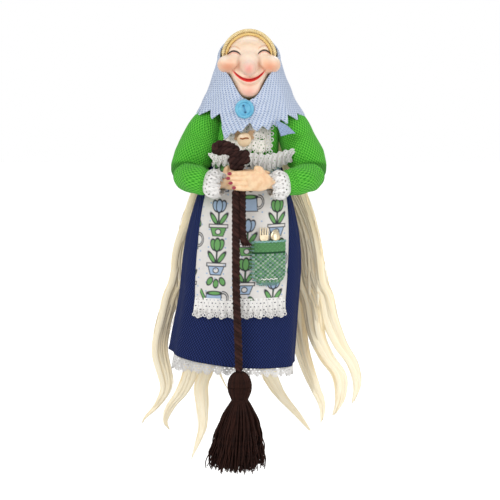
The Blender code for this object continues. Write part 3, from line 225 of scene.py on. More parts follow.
def painted(name, roughness, relief_scale=0.0, relief=0.0, **fixed):
    """Colour from the piece's own paint attribute, with a slight mottling."""
    coat = Finish(name, roughness, **fixed)
    mottle = coat.noise(coat.place(), 0.35, 3.0)
    shade = coat.node("MapRange", {0: mottle, 1: 0.3, 2: 0.7, 3: 0.96, 4: 1.03})
    grey = coat.node("CombineColor", {0: shade, 1: shade, 2: shade})
    coat.colour(coat.mix(1.0, coat.attribute("paint", 0), grey, "MULTIPLY"))
    if relief:
        coat.relief(coat.noise(coat.place(), relief_scale), relief)
    return coat.made


# Helpers: surfaces on grids

def placed(name, data, place=(0, 0, 0), aim=None):
    """A new object in the scene, which looks at its aim where it has one."""
    made = bpy.data.objects.new(name, data)
    made.location = place
    if aim:
        made.rotation_euler = (aim - Vector(place)).to_track_quat("-Z", "Y").to_euler()
    bpy.context.scene.collection.objects.link(made)
    return made


def patches(name, points, look, wrap=False, caps=False, keep=None, tone=None, paint=None, middle=0,
            flat=None, fold_shade=None):
    """Grids of points (patch, row, column) made one mesh. Rows run down or along and columns run
    counterclockwise seen against that way. UV counts the millimetres across from the middle column
    and down from the first row, or is given as flat. keep leaves faces out, which makes the holes
    of lace. tone is one value per patch or per row of it."""
    points = np.asarray(points, float)
    if points.ndim == 3:
        points = points[None]
    count, rows, columns = points.shape[:3]
    index = np.arange(count * rows * columns).reshape(count, rows, columns)
    left = np.arange(columns if wrap else columns - 1)
    right = (left + 1) % columns
    top, low = index[:, :-1], index[:, 1:]
    quads = np.stack([top[..., left], low[..., left], low[..., right], top[..., right]], -1).reshape(-1, 4)
    if flat is None:
        ring = np.concatenate([points, points[:, :, :1]], 2) if wrap else points
        across = np.cumsum(np.linalg.norm(np.diff(ring, axis=2, prepend=ring[:, :, :1]), axis=3), 2)
        across -= across[:, :, middle:middle + 1].copy()
        down = np.cumsum(np.linalg.norm(np.diff(ring, axis=1, prepend=ring[:, :1]), axis=3), 1)
        flat = np.stack([across, down], -1)
    uv = np.reshape(flat, (count, rows, -1, 2))
    uv = np.stack([uv[:, :-1, :-1], uv[:, 1:, :-1], uv[:, 1:, 1:], uv[:, :-1, 1:]], 3).reshape(-1, 4, 2)
    if keep is not None:
        quads, uv = quads[keep.reshape(-1)], uv[keep.reshape(-1)]
    if caps:
        odd = np.arange(1, columns - 2, 2)
        for ring, order in ((index[:, 0], (0, 1, 2)), (index[:, -1], (2, 1, 0))):
            fan = np.stack([ring[:, :1].repeat(len(odd), 1)] + [ring[:, odd + k] for k in order], -1)
            quads = np.concatenate([quads, fan.reshape(-1, 4)])
            uv = np.concatenate([uv, np.zeros((fan.size // 4, 4, 2))])
    used, quads = np.unique(quads, return_inverse=True)
    places = points.reshape(-1, 3)[used] / 1000
    mesh = bpy.data.meshes.new(name)
    mesh.vertices.add(len(places))
    mesh.vertices.foreach_set("co", places.astype(np.float32).ravel())
    mesh.loops.add(quads.size)
    mesh.loops.foreach_set("vertex_index", quads.astype(np.int32).ravel())
    mesh.polygons.add(quads.size // 4)
    mesh.polygons.foreach_set("loop_start", np.arange(0, quads.size, 4, dtype=np.int32))
    mesh.update(calc_edges=True)
    mesh.uv_layers.new(name="cloth").data.foreach_set("uv", uv.astype(np.float32).ravel())

    def mark(label, kind, key, values):
        data = mesh.attributes.new(label, kind, "POINT").data
        data.foreach_set(key, values[used].astype(np.float32).ravel())

    if tone is not None:
        tone = np.asarray(tone, float)
        tone = tone[:, :, None] if tone.ndim == 2 else tone.reshape(-1, 1, 1)
        mark("tone", "FLOAT", "value", np.broadcast_to(tone, (count, rows, columns)).reshape(-1))
    if paint is not None:
        paint = paint.reshape(-1, 3)
        mark("paint", "FLOAT_COLOR", "color", np.column_stack([paint, np.ones(len(paint))]))
    # This attribute carries painted shade for the woven cloth.
    if fold_shade is not None:
        mark("fold_shade", "FLOAT", "value", np.ravel(fold_shade))
    mesh.shade_smooth()
    mesh.materials.append(look)
    return placed(name, mesh)


def thicken(piece, millimetres, offset=1.0):
    wall = piece.modifiers.new("thickness", "SOLIDIFY")
    wall.thickness = millimetres / 1000
    wall.offset = offset
    return piece


def frames(paths, reference):
    """Two ways across paths (patch, row, 3), the first nearest the reference."""
    along = unit(np.gradient(paths, axis=1))
    first = np.broadcast_to(np.asarray(reference, float), paths.shape)
    first = unit(first - (first * along).sum(2, keepdims=True) * along)
    return first, np.cross(first, along)


def tube_points(paths, radius, sides=6, reference=(0, 1, 0), flat=1.0, flutes=0, depth=0.0):
    """Rings round paths: centre plus radius times cosine of the first way across and sine of the second,
    with so many flutes as a cosine of the turn."""
    paths = np.asarray(paths, float)
    first, second = frames(paths, reference)
    turn = circle(sides)[:, None]
    radius = np.broadcast_to(np.asarray(radius, float), paths.shape[:2])[..., None, None]
    ring = first[:, :, None] * np.cos(turn) + flat * second[:, :, None] * np.sin(turn)
    return paths[:, :, None] + ring * (1 + depth * np.cos(flutes * turn)) * radius


def tubes(name, paths, radius, look, sides=6, reference=(0, 1, 0), flat=1.0, tone=None, flutes=0, depth=0.0):
    points = tube_points(paths, radius, sides, reference, flat, flutes, depth)
    return patches(name, points, look, wrap=True, caps=True, tone=tone)


def ball(name, centre, halves, look, rows=14, columns=20):
    """Ellipsoid: half sizes times the unit ball."""
    rise, turn = np.linspace(0.02, PI - 0.02, rows)[:, None], circle(columns)
    points = xyz(np.sin(rise) * np.sin(turn), -np.sin(rise) * np.cos(turn), np.cos(rise)) * halves
    return patches(name, points + centre, look, wrap=True, caps=True)


def belongs(piece, body, *replaced):
    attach(piece, body)
    if replaced:
        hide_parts(*replaced)
    return piece


def cloth(piece, points, held, rests_on, closed=False):
    """Gives the piece back unchanged."""
    return piece


# Camera, light and floor

AIM = Vector((0.0006, 0, -0.1319))
CAMERA_RISE, CAMERA_AWAY, FLOOR_DROP = np.radians(7), 0.9, 272.0
LAMPS = (("key_lamp", (-0.55, -0.95, 0.45), 0.55, 4.9), ("fill_lamp", (0.9, -0.7, 0.1), 0.8, 3.5),
         ("back_lamp", (0.2, 1.0, 0.6), 0.8, 3.2))


def studio():
    """Camera 900 mm away and 7 degrees up, soft lamps at a plain level, white floor and backdrop. The
    floor's glow for the camera grows outwards from the object, which leaves its shadow; the weaker
    glow near the object is painted shade round it."""
    scene = bpy.context.scene
    lens = bpy.data.cameras.new("studio_camera")
    lens.sensor_width, lens.lens = 36, 108.0
    away = Vector((0, -np.cos(CAMERA_RISE), np.sin(CAMERA_RISE))) * CAMERA_AWAY
    scene.camera = placed("studio_camera", lens, AIM + away, AIM)
    for name, place, size, power in LAMPS:
        light = bpy.data.lights.new(name, "AREA")
        light.size, light.energy = size, power
        placed(name, light, place, Vector((0, 0, -0.13)))
    scene.world = bpy.data.worlds.new("studio_air")
    scene.world.use_nodes = True
    air = Nodes(scene.world.node_tree)
    rays = air.node("LightPath", {}).node.outputs
    seen = air.maths("MAXIMUM", rays["Is Camera Ray"], rays["Is Glossy Ray"])
    seen = air.maths("MAXIMUM", seen, rays["Is Transmission Ray"])
    ground = air.tree.nodes["Background"].inputs
    air.feed(ground["Strength"], air.node("MapRange", {"Value": seen, "To Min": 0.58, "To Max": 1.0}))
    air.feed(ground["Color"], WHITE)
    scene.view_settings.view_transform = "Standard"
    floor = Finish("pale_floor", 0.9, Base_Color=(0.93, 0.93, 0.93, 1), Emission_Color=WHITE)
    # Painted shade: the glow is weaker near the object than far from it.
    out = floor.node("VectorMath", {0: floor.place((1.0, 1.0, 0.0))}, 1, operation="LENGTH")
    level = floor.node("MapRange", {0: out, 1: 0.05, 2: 0.45, 3: 0.49, 4: 0.60})
    glow = floor.maths("MULTIPLY", floor.node("LightPath", {}), level)
    floor.feed(floor.sockets["Emission Strength"], glow)
    line = np.linspace(-3000, 3000, 3)
    patches("pale_floor", xyz(line, -line[:, None], -FLOOR_DROP), floor.made)


studio()


# Broom: twisted cord, knot, loop and tassel

BROOM_X, BROOM_Y = -5.4, -33.684
CORD_TOP, CORD_END, CORD_BOW, CORD_RADIUS = 92.9, 199.4, 2.1, 2.45
TAIL_TOP, TAIL_END, TAIL_ASIDE, TAIL_RADIUS = 93.2, 123.6, 3.75, 2.15
BULB_RADIUS, BULB_HEIGHT, FRINGE_TOP = 6.745, 16.4, 216.2
LOOP_ROUTE = ((-6.2, -70.8, 0.4), (-9.4, -68.6, 0.9), (-13.4, -66.9, 1.0), (-17.2, -66.9, 0.6),
              (-19.6, -69.0, 0), (-17.8, -70.9, -0.9), (-13.8, -70.3, -1.3), (-10.0, -71.6, -1.2),
              (-7.4, -74.2, -0.8))
BULB_SHARES = ((0, 0.32), (0.05, 0.52), (0.15, 0.75), (0.30, 0.92), (0.50, 1.0), (0.70, 0.95), (0.85, 0.82),
               (0.95, 0.72), (1.0, 0.68))
CORD_BROWN = threads("brown_cord_thread", (14, 6, 6), (80, 51, 46), 0.85, 3.0, 0.5, 0.0004,
                     Specular_IOR_Level=0.15)
TASSEL_BROWN = threads("brown_tassel_thread", (5, 2, 2), (62, 34, 26), 0.8, 3.0, 0.5, 0.0003,
                       Specular_IOR_Level=0.15)


def rope(name, path, radius, pitch, reference=(0, 1, 0)):
    """Three plies wound round a path: each turns once per pitch at 0.54 of the rope's radius, and is a
    tube of 0.46 of it that narrows at both ends."""
    first, second = frames(path[None], reference)
    turn = (2 * PI * run(path) / pitch + circle(3)[:, None])[..., None]
    paths = path + 0.54 * radius * (np.cos(turn) * first + np.sin(turn) * second)
    share = steps(len(path))
    taper = np.minimum(1, np.minimum(share, 1 - share) * 30 + 0.45)
    return tubes(name, paths, 0.46 * radius * taper, CORD_BROWN, 10, reference, tone=[0.1, 0.75, 0.35])


def hanging(x, top, low, count):
    """A cord that hangs aside of its knot and comes nearer the middle, by a cosine, above the tassel."""
    drops = np.linspace(top, low, count)
    aside = CORD_BOW * (0.62 + 0.38 * np.cos(PI * ramp(drops, 140, 200)))
    return xyz(x - aside, BROOM_Y, -drops)


def make_broom():
    """The knot winds two and a half times round a ball before its end runs down into the hands."""
    path = hanging(BROOM_X, CORD_TOP, CORD_END, 260)
    cord = belongs(rope("twisted_cord", path, CORD_RADIUS, 8.0), "broom", "broom_cord")
    tail_path = hanging(BROOM_X + TAIL_ASIDE, TAIL_TOP, TAIL_END, 90)
    tail_path[:, 0] += 1.1 * steps(90) ** 9
    tail = belongs(rope("twisted_tail", tail_path, TAIL_RADIUS, 7.0), "broom", "broom_tail")
    rng = np.random.default_rng(4)
    count, s = 44, steps(8)[:, None]
    turn, out = rng.uniform(0, 2 * PI, count), rng.uniform(0.2, 1.7, count)
    x, y, z = tail_path[-1]
    fray = xyz(x + np.cos(turn) * out * (0.8 + 0.8 * s) + 1.6 * s * s,
               y + np.sin(turn) * out * (0.8 + 0.5 * s), z + 2.5 - s * rng.uniform(2.5, 5.0, count))
    ends = belongs(tubes("tail_frayed_end", fray.transpose(1, 0, 2), 0.26, CORD_BROWN, 4,
                         tone=rng.uniform(0, 1, count)), "broom")
    u = steps(200)
    polar, turn = np.radians(32 + 112 * u), 2 * PI * 2.5 * u + 2.4
    wound = xyz(BROOM_X - 0.2 + 4.3 * np.sin(polar) * np.cos(turn), BROOM_Y + 4.0 * np.sin(polar) * np.sin(turn),
                -75.6 + 4.4 * np.cos(polar) + 1.1 * np.cos(turn))
    below = np.array([(BROOM_X - x, BROOM_Y, -d) for x, d in ((0.5, 81.5), (1.2, 85.6), (1.9, 89.9))])
    knot_path = even(smooth_route(np.concatenate([wound[::8], below]), 240), 240)
    belongs(rope("cord_knot", knot_path, 2.5, 8.0, (0.25, 0.3, 1)), "doll", "broom_knot")
    loop = [(x, BROOM_Y + y, z) for x, z, y in LOOP_ROUTE]
    belongs(rope("cord_loop", even(smooth_route(loop, 130), 130), CORD_RADIUS, 7.5), "doll", "broom_loop")
    return cord, path, tail, tail_path, ends


def make_tassel():
    """Egg-shaped bulb of threads, wound binding, and a fringe whose threads flare as one minus a falling
    exponential, wave by slow sines and lean a little to the left."""
    centre = (BROOM_X, BROOM_Y, 0)
    share, turn = steps(34)[:, None], circle(80)
    egg = table(share, smooth_route(BULB_SHARES, 200))
    wide = BULB_RADIUS * egg
    bulb = xyz(wide * np.sin(turn), -wide * np.cos(turn), -CORD_END - BULB_HEIGHT * share)
    head = patches("tassel_bulb", bulb + centre, TASSEL_BROWN, wrap=True, caps=True, tone=[0.75])
    belongs(head, "tassel", "tassel_head")
    rng = np.random.default_rng(17)
    count = 64
    turn = 2 * PI * (np.arange(count) + rng.uniform(-0.25, 0.25, count)) / count + 0.10 * np.sin(PI * share)
    wide = 6.85 * egg + rng.uniform(-0.12, 0.12, count)
    lines = xyz(wide * np.sin(turn), -wide * np.cos(turn), -199.5 - 16.2 * share) + centre
    over = belongs(tubes("tassel_bulb_threads", lines.transpose(1, 0, 2), 0.36, TASSEL_BROWN, 6, (0, 0, 1),
                         tone=rng.uniform(0.1, 1.0, count)), "tassel")
    turn = 2 * PI * np.linspace(0, 5, 180)
    wound = xyz(4.55 * np.sin(turn), -4.55 * np.cos(turn), -215.2 - 0.52 * turn / (2 * PI)) + centre
    binding = belongs(tubes("tassel_wound_binding", wound[None], 0.45, TASSEL_BROWN, 8, (0, 0, 1), tone=[0.5]),
                      "tassel", "tassel_binding")
    rng = np.random.default_rng(7)
    count, s = 560, steps(24)[:, None]
    spread, turn = np.sqrt(rng.uniform(0.0, 1, count)), rng.uniform(0, 2 * PI, count)
    flare = (1 - np.exp(-1.9 * s)) / (1 - np.exp(-1.9))
    wave = 1.1 * s * np.sin(2 * PI * (s * rng.uniform(1.5, 3.5, count) + rng.uniform(0, 1, count)))
    out = spread * (4.6 + 12.8 * flare * rng.uniform(0.85, 1.06, count)) + wave
    swirl = turn + 0.14 * s * rng.uniform(-1, 1, count)
    fall = 42.6 - 7.5 * rng.uniform(0, 1, count) ** 1.7 - 2.5 * spread
    fringe = xyz(out * np.sin(swirl) - 2.4 * s ** 1.3, -out * np.cos(swirl) * 0.95, -FRINGE_TOP - fall * s)
    piece = tubes("tassel_threads", (fringe + centre).transpose(1, 0, 2), 0.42 * (1 - 0.35 * s[:, 0] ** 4),
                  TASSEL_BROWN, 5, (1, 0, 0), tone=rng.uniform(0.0, 1.0, count))
    belongs(piece, "tassel", "tassel_fringe")
    return head, over, binding, piece


cord, cord_path, tail, tail_path, tail_ends = make_broom()
tassel = make_tassel()


# Head: blended balls with closed smiling eyes and painted features

SKULL = np.array([14.6, 15.0, 15.5])
SKULL_DROP = 15.5 * np.sqrt(1 - 0.16) + 0.4 + 3.4
SKULL_CENTRE = np.array([0, 0, -SKULL_DROP])
# Place and size of each ball as shares of the skull; one beside the middle is there on both sides
HEAD_BALLS = (
    ((0.0, 0.0, 0.0), (1.0, 1.0, 1.0)), ((0.842, -0.633, -0.219), (0.425, 0.40, 0.355)),
    ((0.46, -0.83, -0.21), (0.38, 0.28, 0.31)), ((0.0, -0.87, 0.26), (0.27, 0.19, 0.30)),
    ((0.0, -1.12, -0.08), (0.365, 0.35, 0.33)), ((0.0, -1.50, -0.37), (0.285, 0.34, 0.29)),
    ((0.22, -1.15, -0.22), (0.20, 0.24, 0.22)), ((0.0, -0.72, -0.66), (0.72, 0.46, 0.40)),
    ((0.0, -0.68, -0.95), (0.61, 0.50, 0.38)), ((0.0, -0.93, -1.165), (0.43, 0.38, 0.31)),
    ((0.34, -0.64, 0.38), (0.33, 0.20, 0.18)))
# Middle, height of the lid's peak, half width and fall towards the corners
EYES = ((-8.8, -13.7, 3.5, 1.6), (9.0, -13.2, 3.4, 1.7))
# Skin and blush are the doll's paint; the glow is painted highlight and the browns below are painted shade.
SKIN, GLOW, BLUSH = linear(253, 226, 202), linear(255, 242, 226), linear(230, 142, 106)
SHADE, JAW_SHADOW, WARM_SHADE = linear(196, 128, 92), linear(72, 40, 28), linear(240, 200, 158)


def head_field(points, blend=3.0):
    """Rough distance to the head: the least of its balls, each pair rounded over the blend width."""
    total = np.inf
    for place, size in HEAD_BALLS:
        halves = np.array(size) * SKULL
        for side in (1, -1) if place[0] else (1,):
            away = (points - SKULL_CENTRE - np.array(place) * SKULL * (side, 1, 1)) / halves
            near = np.linalg.norm(away, axis=-1)
            one = near * (near - 1) / np.maximum(np.linalg.norm(away / halves, axis=-1), 1e-9)
            mix = np.maximum(blend - np.abs(total - one), 0) / blend
            total = np.minimum(total, one) - mix * mix * blend / 4
    return total


def head_form(rows, columns):
    """Rays from inside the skull meet the outermost place where the field turns positive."""
    share = steps(rows)
    rise = (0.012 + (PI - 0.024) * (0.55 * share + 0.45 * share ** 2.2))[:, None]
    turn = circle(columns)
    ways = xyz(np.sin(rise) * np.cos(turn), -np.cos(rise), np.sin(rise) * np.sin(turn)).reshape(-1, 3)
    start = SKULL_CENTRE + (0, -3.0, -3.0)
    inner = np.zeros(len(ways))
    for k in range(1, 44):
        inner[head_field(start + ways * k) < 0] = k
    outer = inner + 1.0
    for _ in range(11):
        middle = (inner + outer) / 2
        inside = head_field(start + ways * middle[:, None]) < 0
        inner, outer = np.where(inside, middle, inner), np.where(inside, outer, middle)
    return start + ways * inner[:, None]


def lid_line(x, eye):
    """Height of a smiling lid: its peak less a parabola towards both corners."""
    middle, peak, half, fall = eye
    return peak - fall * ((x - middle) / half) ** 2


def lip_line(x):
    return -30.4 + 4.6 * (x / 8.6) ** 2


def fold_line(x):
    return -20.8 - 1.1 * (np.abs(x) - 5.2)


def face_relief(x, z):
    """How far lids, crow's feet, lips, smile folds and brow lines stand proud: bells round their lines."""
    push = np.zeros_like(x)
    for eye in EYES:
        middle, peak, half, fall = eye
        line, inside, side = lid_line(x, eye), bell(x - middle, half + 0.4, 6), np.sign(middle)
        push += inside * (0.55 * bell(z - line - 1.3, 0.9) + 0.35 * bell(z - line + 1.1, 0.7)
                          - 0.45 * bell(z - line, 0.45))
        for k in (-1, 0, 1):
            foot = peak - fall + k * 1.1 + (x - middle - side * half) * side * 0.35 * k
            push -= 0.16 * bell(z - foot, 0.22) * bell(x - middle - side * (half + 1.6), 1.2)
    over = z - lip_line(x)
    push += bell(x, 8.8, 8) * (0.45 * bell(over - 1.0, 0.6) + 0.405 * bell(over + 1.15, 0.7)
                               - 0.9 * bell(over - 0.1, 0.4))
    push -= 0.5 * bell(x, 6.5, 4) * bell(over + 2.9, 0.8)
    push -= 0.55 * bell(z - fold_line(x), 0.9) * bell(np.abs(x) - 7.6, 2.4)
    for height, bend, width in ((9.0, 0.04, 6), (6.9, 0.035, 6.5)):
        push -= 0.22 * bell(z + height + bend * x * x, 0.35) * bell(x, width, 4)
    return push


def face_paint(x, y, z, front):
    """Strokes of paint in order, each a colour and its share at every place. Besides the doll's own
    paint of skin, cheeks, blush, nose tip, chin, lips and eye lines, the glow strokes are painted
    highlight and the brown strokes are painted shade.
    """
    ax, over, fold_shade = np.abs(x), z - lip_line(x), z - fold_line(x)
    edge = ax - 9.6 + 0.60 * (-z - 29)
    strokes = [
        (linear(240, 190, 146), 0.75 * bell(ax - 12.2, 6.4) * bell(z + 21.6, 3.9)),
        (BLUSH, 0.72 * bell(ax - 12.2, 5.2) * bell(z + 23.2, 3.3)),
        (linear(234, 144, 132), 0.85 * bell(ax, 3.2) * bell(z + 23.6, 4.0)),
        (linear(244, 168, 148), 0.75 * bell(x, 5.4) * bell(z + 37.2, 4.0)),
        # Painted highlight on the forehead, then painted shade over the brows and beside the nose bridge.
        (GLOW, 0.75 * bell(z + 4.5, 4.2)),
        (WARM_SHADE, 0.45 * bell(x, 9.0, 4) * bell(z + 9.8, 1.7)),
        (WARM_SHADE, 0.5 * bell(ax - 6.4, 2.2) * bell(z + 12.2, 2.0)),
        # Painted highlight on the cheeks and the nose; the rest are painted shade in the smile folds, beside and
        # under the nose, under the lower lip and along the jaw.
        (GLOW, 0.6 * bell(ax - 14.6, 2.6) * bell(z + 17.6, 2.2)),
        (GLOW, 0.5 * bell(ax, 2.6) * bell(z + 19.5, 2.6)),
        (SHADE, 0.55 * bell(fold_shade, 1.0) * bell(ax - 7.4, 2.6)),
        (SHADE, 0.70 * bell(ax - 5.9, 1.0) * bell(z + 21.5, 3.6)),
        (SHADE, 0.45 * bell(z + 29.2, 0.8) * bell(x, 4.6, 4) * (y > -20)),
        (SHADE, 0.5 * bell(x, 6.5, 4) * bell(over + 2.7, 0.8)),
        (JAW_SHADOW, 0.6 * ramp(edge, 0.4, 2.4) * bell(z + 30.5, 3.4)),
        (SHADE, 0.4 * ramp(edge, -1.2, 0.8) * (z < -27.0))]
    for eye in EYES:
        line, inside = z - lid_line(x, eye), bell(x - eye[0], eye[2] + 0.25, 10)
        # Painted highlight on the lid, the pink below its line and the dark eye line, then painted shade above the
        # lid.
        strokes += [(GLOW, 0.5 * inside * bell(line - 1.3, 0.7)),
                    (linear(232, 160, 138), 0.7 * inside * bell(line + 0.9, 0.55)),
                    (linear(14, 6, 5), 2.4 * inside * bell(line, 0.42, 4)),
                    (SHADE, 0.5 * inside * bell(line - 2.7, 0.5))]
    lips = bell(x, 8.9, 12)
    strokes += [(linear(236, 48, 40), 1.6 * lips * bell(over + 0.15, 0.98 - 0.003 * x * x, 4)),
                (linear(132, 14, 20), 0.9 * lips * bell(over - 0.30, 0.26))]
    paint = SKIN
    for colour, share in strokes:
        share = np.clip(share * front, 0, 1)[:, None]
        paint = paint * (1 - share) + colour * share
    return paint


def make_head(rows=220, columns=336):
    spots = head_form(rows, columns)
    x, y, z = spots.T
    front = y < -2
    spots[:, 1] -= face_relief(x, z) * front
    look = painted("painted_skin", 0.38, Subsurface_Weight=0.08, Subsurface_Scale=0.002, Coat_Weight=0.15,
                   Coat_Roughness=0.3)
    paint = face_paint(x, y, z, front)
    belongs(patches("painted_head", spots.reshape(rows, columns, 3), look, wrap=True, caps=True, paint=paint),
            "doll", "head")


make_head()


# Hair on the head: plait, smooth strand and the glued cap

# The pale hair has a faint warm emission: painted light that stands in for light passing through it.
GLOWING_PALE_HAIR = threads("pale_blond_hair_painted_glow", (244, 220, 164), (255, 249, 230), 0.5, 2.2, 0.06, 0.0002,
                    Sheen_Weight=0.15, Emission_Color=(1.0, 0.80, 0.50, 1.0), Emission_Strength=0.10)
GOLD_HAIR = threads("golden_hair", (206, 156, 66), (255, 228, 156), 0.45, 4.0, 0.15, 0.0002, tones=False)
PLAIT_HAIR = threads("plaited_golden_hair", (224, 190, 118), (255, 243, 200), 0.5, 1.4, 0.2, 0.0001)


def skull_arc(plane, out, count, reach):
    """Centres of a strand outside the skull's ellipse in one plane, from cheek to cheek over the crown,
    and the ways outwards."""
    section = np.sqrt(1 - (plane / SKULL[1]) ** 2)
    turn = np.radians(reach) * np.linspace(-1, 1, count)
    spot = SKULL_CENTRE + SKULL * xyz(section * np.sin(turn), -plane / SKULL[1], section * np.cos(turn))
    way = unit(xyz(spot[:, 0] / SKULL[0] ** 2, 0, (spot[:, 2] + SKULL_DROP) / SKULL[2] ** 2))
    return spot + way * out, way


def make_plait():
    """Three strands braid: side offset is a sine and lift a double sine of the place along the arc, a
    third of a turn apart. Each strand is six hairs wound round a seventh."""
    arc, out = skull_arc(6.0, 1.95, 240, 86)
    side = np.cross(out, unit(np.gradient(arc, axis=0)))
    t = steps(len(arc))
    taper = np.minimum(1, 0.4 + 12 * np.minimum(t, 1 - t))[:, None]
    turn = 2 * PI * (t * 15 + np.arange(3)[:, None] / 3)[..., None]
    strand = arc + taper * (0.95 * side * np.sin(turn) + 0.42 * out * np.sin(2 * turn))
    roll = 2 * PI * (t * 4 + np.arange(7)[:, None] / 6)[..., None]
    reach = np.array([0.52] * 6 + [0])[:, None, None]
    hairs = strand[:, None] + taper * reach * (side * np.cos(roll) + out * np.sin(roll))
    tones = np.random.default_rng(2).uniform(0.2, 1.0, 21)
    belongs(tubes("braided_plait", hairs.reshape(21, -1, 3), 0.36 * taper[:, 0], PLAIT_HAIR, 6, (0, -1, 0),
                  tone=tones), "doll", "hair_plait")


def make_strand_and_cap():
    arc = skull_arc(8.6, 1.5, 90, 85)[0]
    t = steps(90)
    size = 0.75 * np.minimum(1, 0.35 + 8 * np.minimum(t, 1 - t))
    belongs(tubes("smooth_golden_strand", arc[None], size, GOLD_HAIR, 12, (0, -1, 0)), "doll", "hair_strand")
    rise = np.linspace(0.02, 1.75, 24)[:, None]
    turn = np.radians(np.linspace(-88, 88, 40))
    shell = SKULL_CENTRE + (SKULL + 0.55) * xyz(-np.sin(rise) * np.sin(turn), np.sin(rise) * np.cos(turn),
                                                np.cos(rise))
    belongs(thicken(patches("glued_hair_cap", shell, GOLD_HAIR), 0.35), "doll", "hair_cap")


make_plait()
make_strand_and_cap()


# Kerchief: hood and cape with a pinked edge

HOOD_TOP = SKULL_DROP - 15.5 - 0.5 - 0.4 - 0.3
CAPE_TOP = 43.0
# Drop and half angle of the face opening; drop and half width; degrees from the front and drop of the hem
OPENING = ((0, 90), (8, 90), (12, 80), (15, 72), (18, 67), (21, 58.5), (24.5, 45), (28, 33), (31, 25.6),
           (35, 18.4), (38.5, 12.4), (40.8, 7.6), (42, 1), (43, 0))
HOOD_WIDTHS = ((15, 16.8), (18, 17.6), (24, 19.4), (30, 21.4), (39, 24.8), (47, 28.8), (51, 31.2), (56, 33.4))
HEM_DROPS = (
    (-180, 47), (-110, 48.5), (-80, 49.5), (-74, 48.0), (-65, 51.3), (-49, 47.8), (-42, 53.3), (-32.5, 49.6),
    (-28.5, 54.5), (-26.5, 60), (-24.5, 65.2), (-21, 63.6), (-18, 60.8), (-15, 61.8), (-11, 59.6), (-7, 60.4),
    (-3, 57.2), (1.5, 55.0), (4, 58.4), (7.9, 60.3), (13.5, 56.6), (19.5, 59.8), (24, 56.0), (29, 57.8),
    (34.5, 53.2), (41, 56.4), (44, 50.4), (60.5, 54.0), (64, 49.6), (80, 52.5), (110, 49), (180, 47))
BLUE_WEAVE = woven("blue_kerchief_weave", (92, 124, 182), (210, 222, 242), 2.1, 2.5, 0.0006, 0.02, 0.6)
BLUE_REVERSE = woven("blue_kerchief_reverse", (112, 132, 166), (158, 178, 212), 2.1, 2.5, 0.0004, 0.0, 0.5)


def off_front(turn):
    return np.minimum(turn, 2 * PI - turn)


def kerchief_point(turn, drop, out):
    """Rings of the cloth: a rounded crown that stays behind the plait, then a cape read off a table."""
    crown = np.sqrt(np.maximum(0, 1 - np.clip((18 - drop) / (18 - HOOD_TOP), 0, 1) ** 2))
    wide = np.where(drop < 18, 17.8 * crown ** 1.7, table(drop, HOOD_WIDTHS))
    deep = np.where(drop < 18, 16.9 * crown ** 1.2, 16.9 + 2.1 * np.maximum(0, (drop - 18) / 34.5))
    return xyz((wide + out) * np.sin(turn), 1.0 - (deep + out) * np.cos(turn), -drop)


def make_kerchief():
    """Upper rows run from one edge of the face opening to the other and lower rows right round; the
    cape swings in folds, and its edge is pinked by the hem's table and, behind, by a triangle wave."""
    across = steps(331)
    upper = HOOD_TOP + (CAPE_TOP - HOOD_TOP) * steps(70) ** 1.15
    first = np.radians(table(upper, OPENING))[:, None]
    turn = first + (2 * PI - 2 * first) * across
    low_share = steps(34)[1:, None]
    low_turn = 2 * PI * across + 0 * low_share
    degrees = (np.degrees(low_turn) + 180) % 360 - 180
    tooth = 3.4 * (triangle(22 * low_turn - 0.7) - 0.4) * ramp(low_share, 0.35, 1) ** 1.2
    tooth *= ramp(np.abs(degrees), 70, 78)
    low_drop = CAPE_TOP + (table(degrees, HEM_DROPS) - CAPE_TOP) * low_share + tooth
    drop = np.concatenate([upper[:, None] + 0 * turn, low_drop])
    turn = np.concatenate([turn, low_turn])
    deep = ramp(drop, 26, 56)
    folds = 0.6 * deep * np.sin(9 * turn + 0.8 * np.sin(2 * turn)) + 0.3 * deep * np.sin(17 * turn + 1.0)
    folds += 0.3 * ramp(drop, 20, 40) * np.sin(0.45 * drop + 3 * turn)
    throat = bell(off_front(turn), 0.5) * ramp(drop, 30, 40)
    folds = folds * (1 - throat) + throat * (0.3 + 0.35 * np.sin(0.9 * drop + 8 * turn))
    points = kerchief_point(turn, drop, np.maximum(folds, -0.2) + 0.15)
    flat = np.stack([(turn - PI) * (20 + 0.16 * drop), drop + 0.06 * (drop - 20) * np.cos(turn)], -1)
    weave = belongs(thicken(patches("blue_kerchief", points, BLUE_WEAVE, flat=flat), 0.8), "doll", "kerchief")
    cloth(weave, points, "draped", ["painted_head", "green_bodice"])


def make_flap():
    """The turned-up corner: a four-cornered patch that bulges by sines and ends in teeth."""
    a, b, c, d = np.array([(15.2, -19.9, -53.4), (21.6, -18.2, -56.4), (18.6, -20.9, -62.4), (27.0, -17.2, -60.8)])
    s, t = steps(14)[None, :, None], steps(16)[:, None, None]
    patch = (a * (1 - s) + b * s) * (1 - t) + (c * (1 - s) + d * s) * t
    s, t = s[..., 0], t[..., 0]
    patch -= xyz(0, 1.2 * np.sin(PI * s) * np.sin(PI * t), 0.5 * t * triangle(2 * PI * s))
    belongs(thicken(patches("turned_kerchief_flap", patch, BLUE_REVERSE), 0.7, 0.0), "doll")


# Body and clothes

SHOULDER, WAIST, HEM = 45, 79, 196
# Share of the way down to the waist, of the half width and of the half depth
TORSO = np.array([(0, .42, .52), (.1, .74, .74), (.28, .95, .92), (.55, 1, 1), (1, .97, 1)])
GREEN_WEAVE = woven("green_sleeve_weave", (30, 136, 20), (104, 208, 68), 2.0, 2.2, 0.0005, 0.15, 0.95, 0.9, 0.08)
NAVY_WEAVE = woven("navy_skirt_weave", (10, 20, 60), (44, 62, 120), 1.7, 2.1, 0.0005, 0.4, 1.15, 0.9, 0.0)


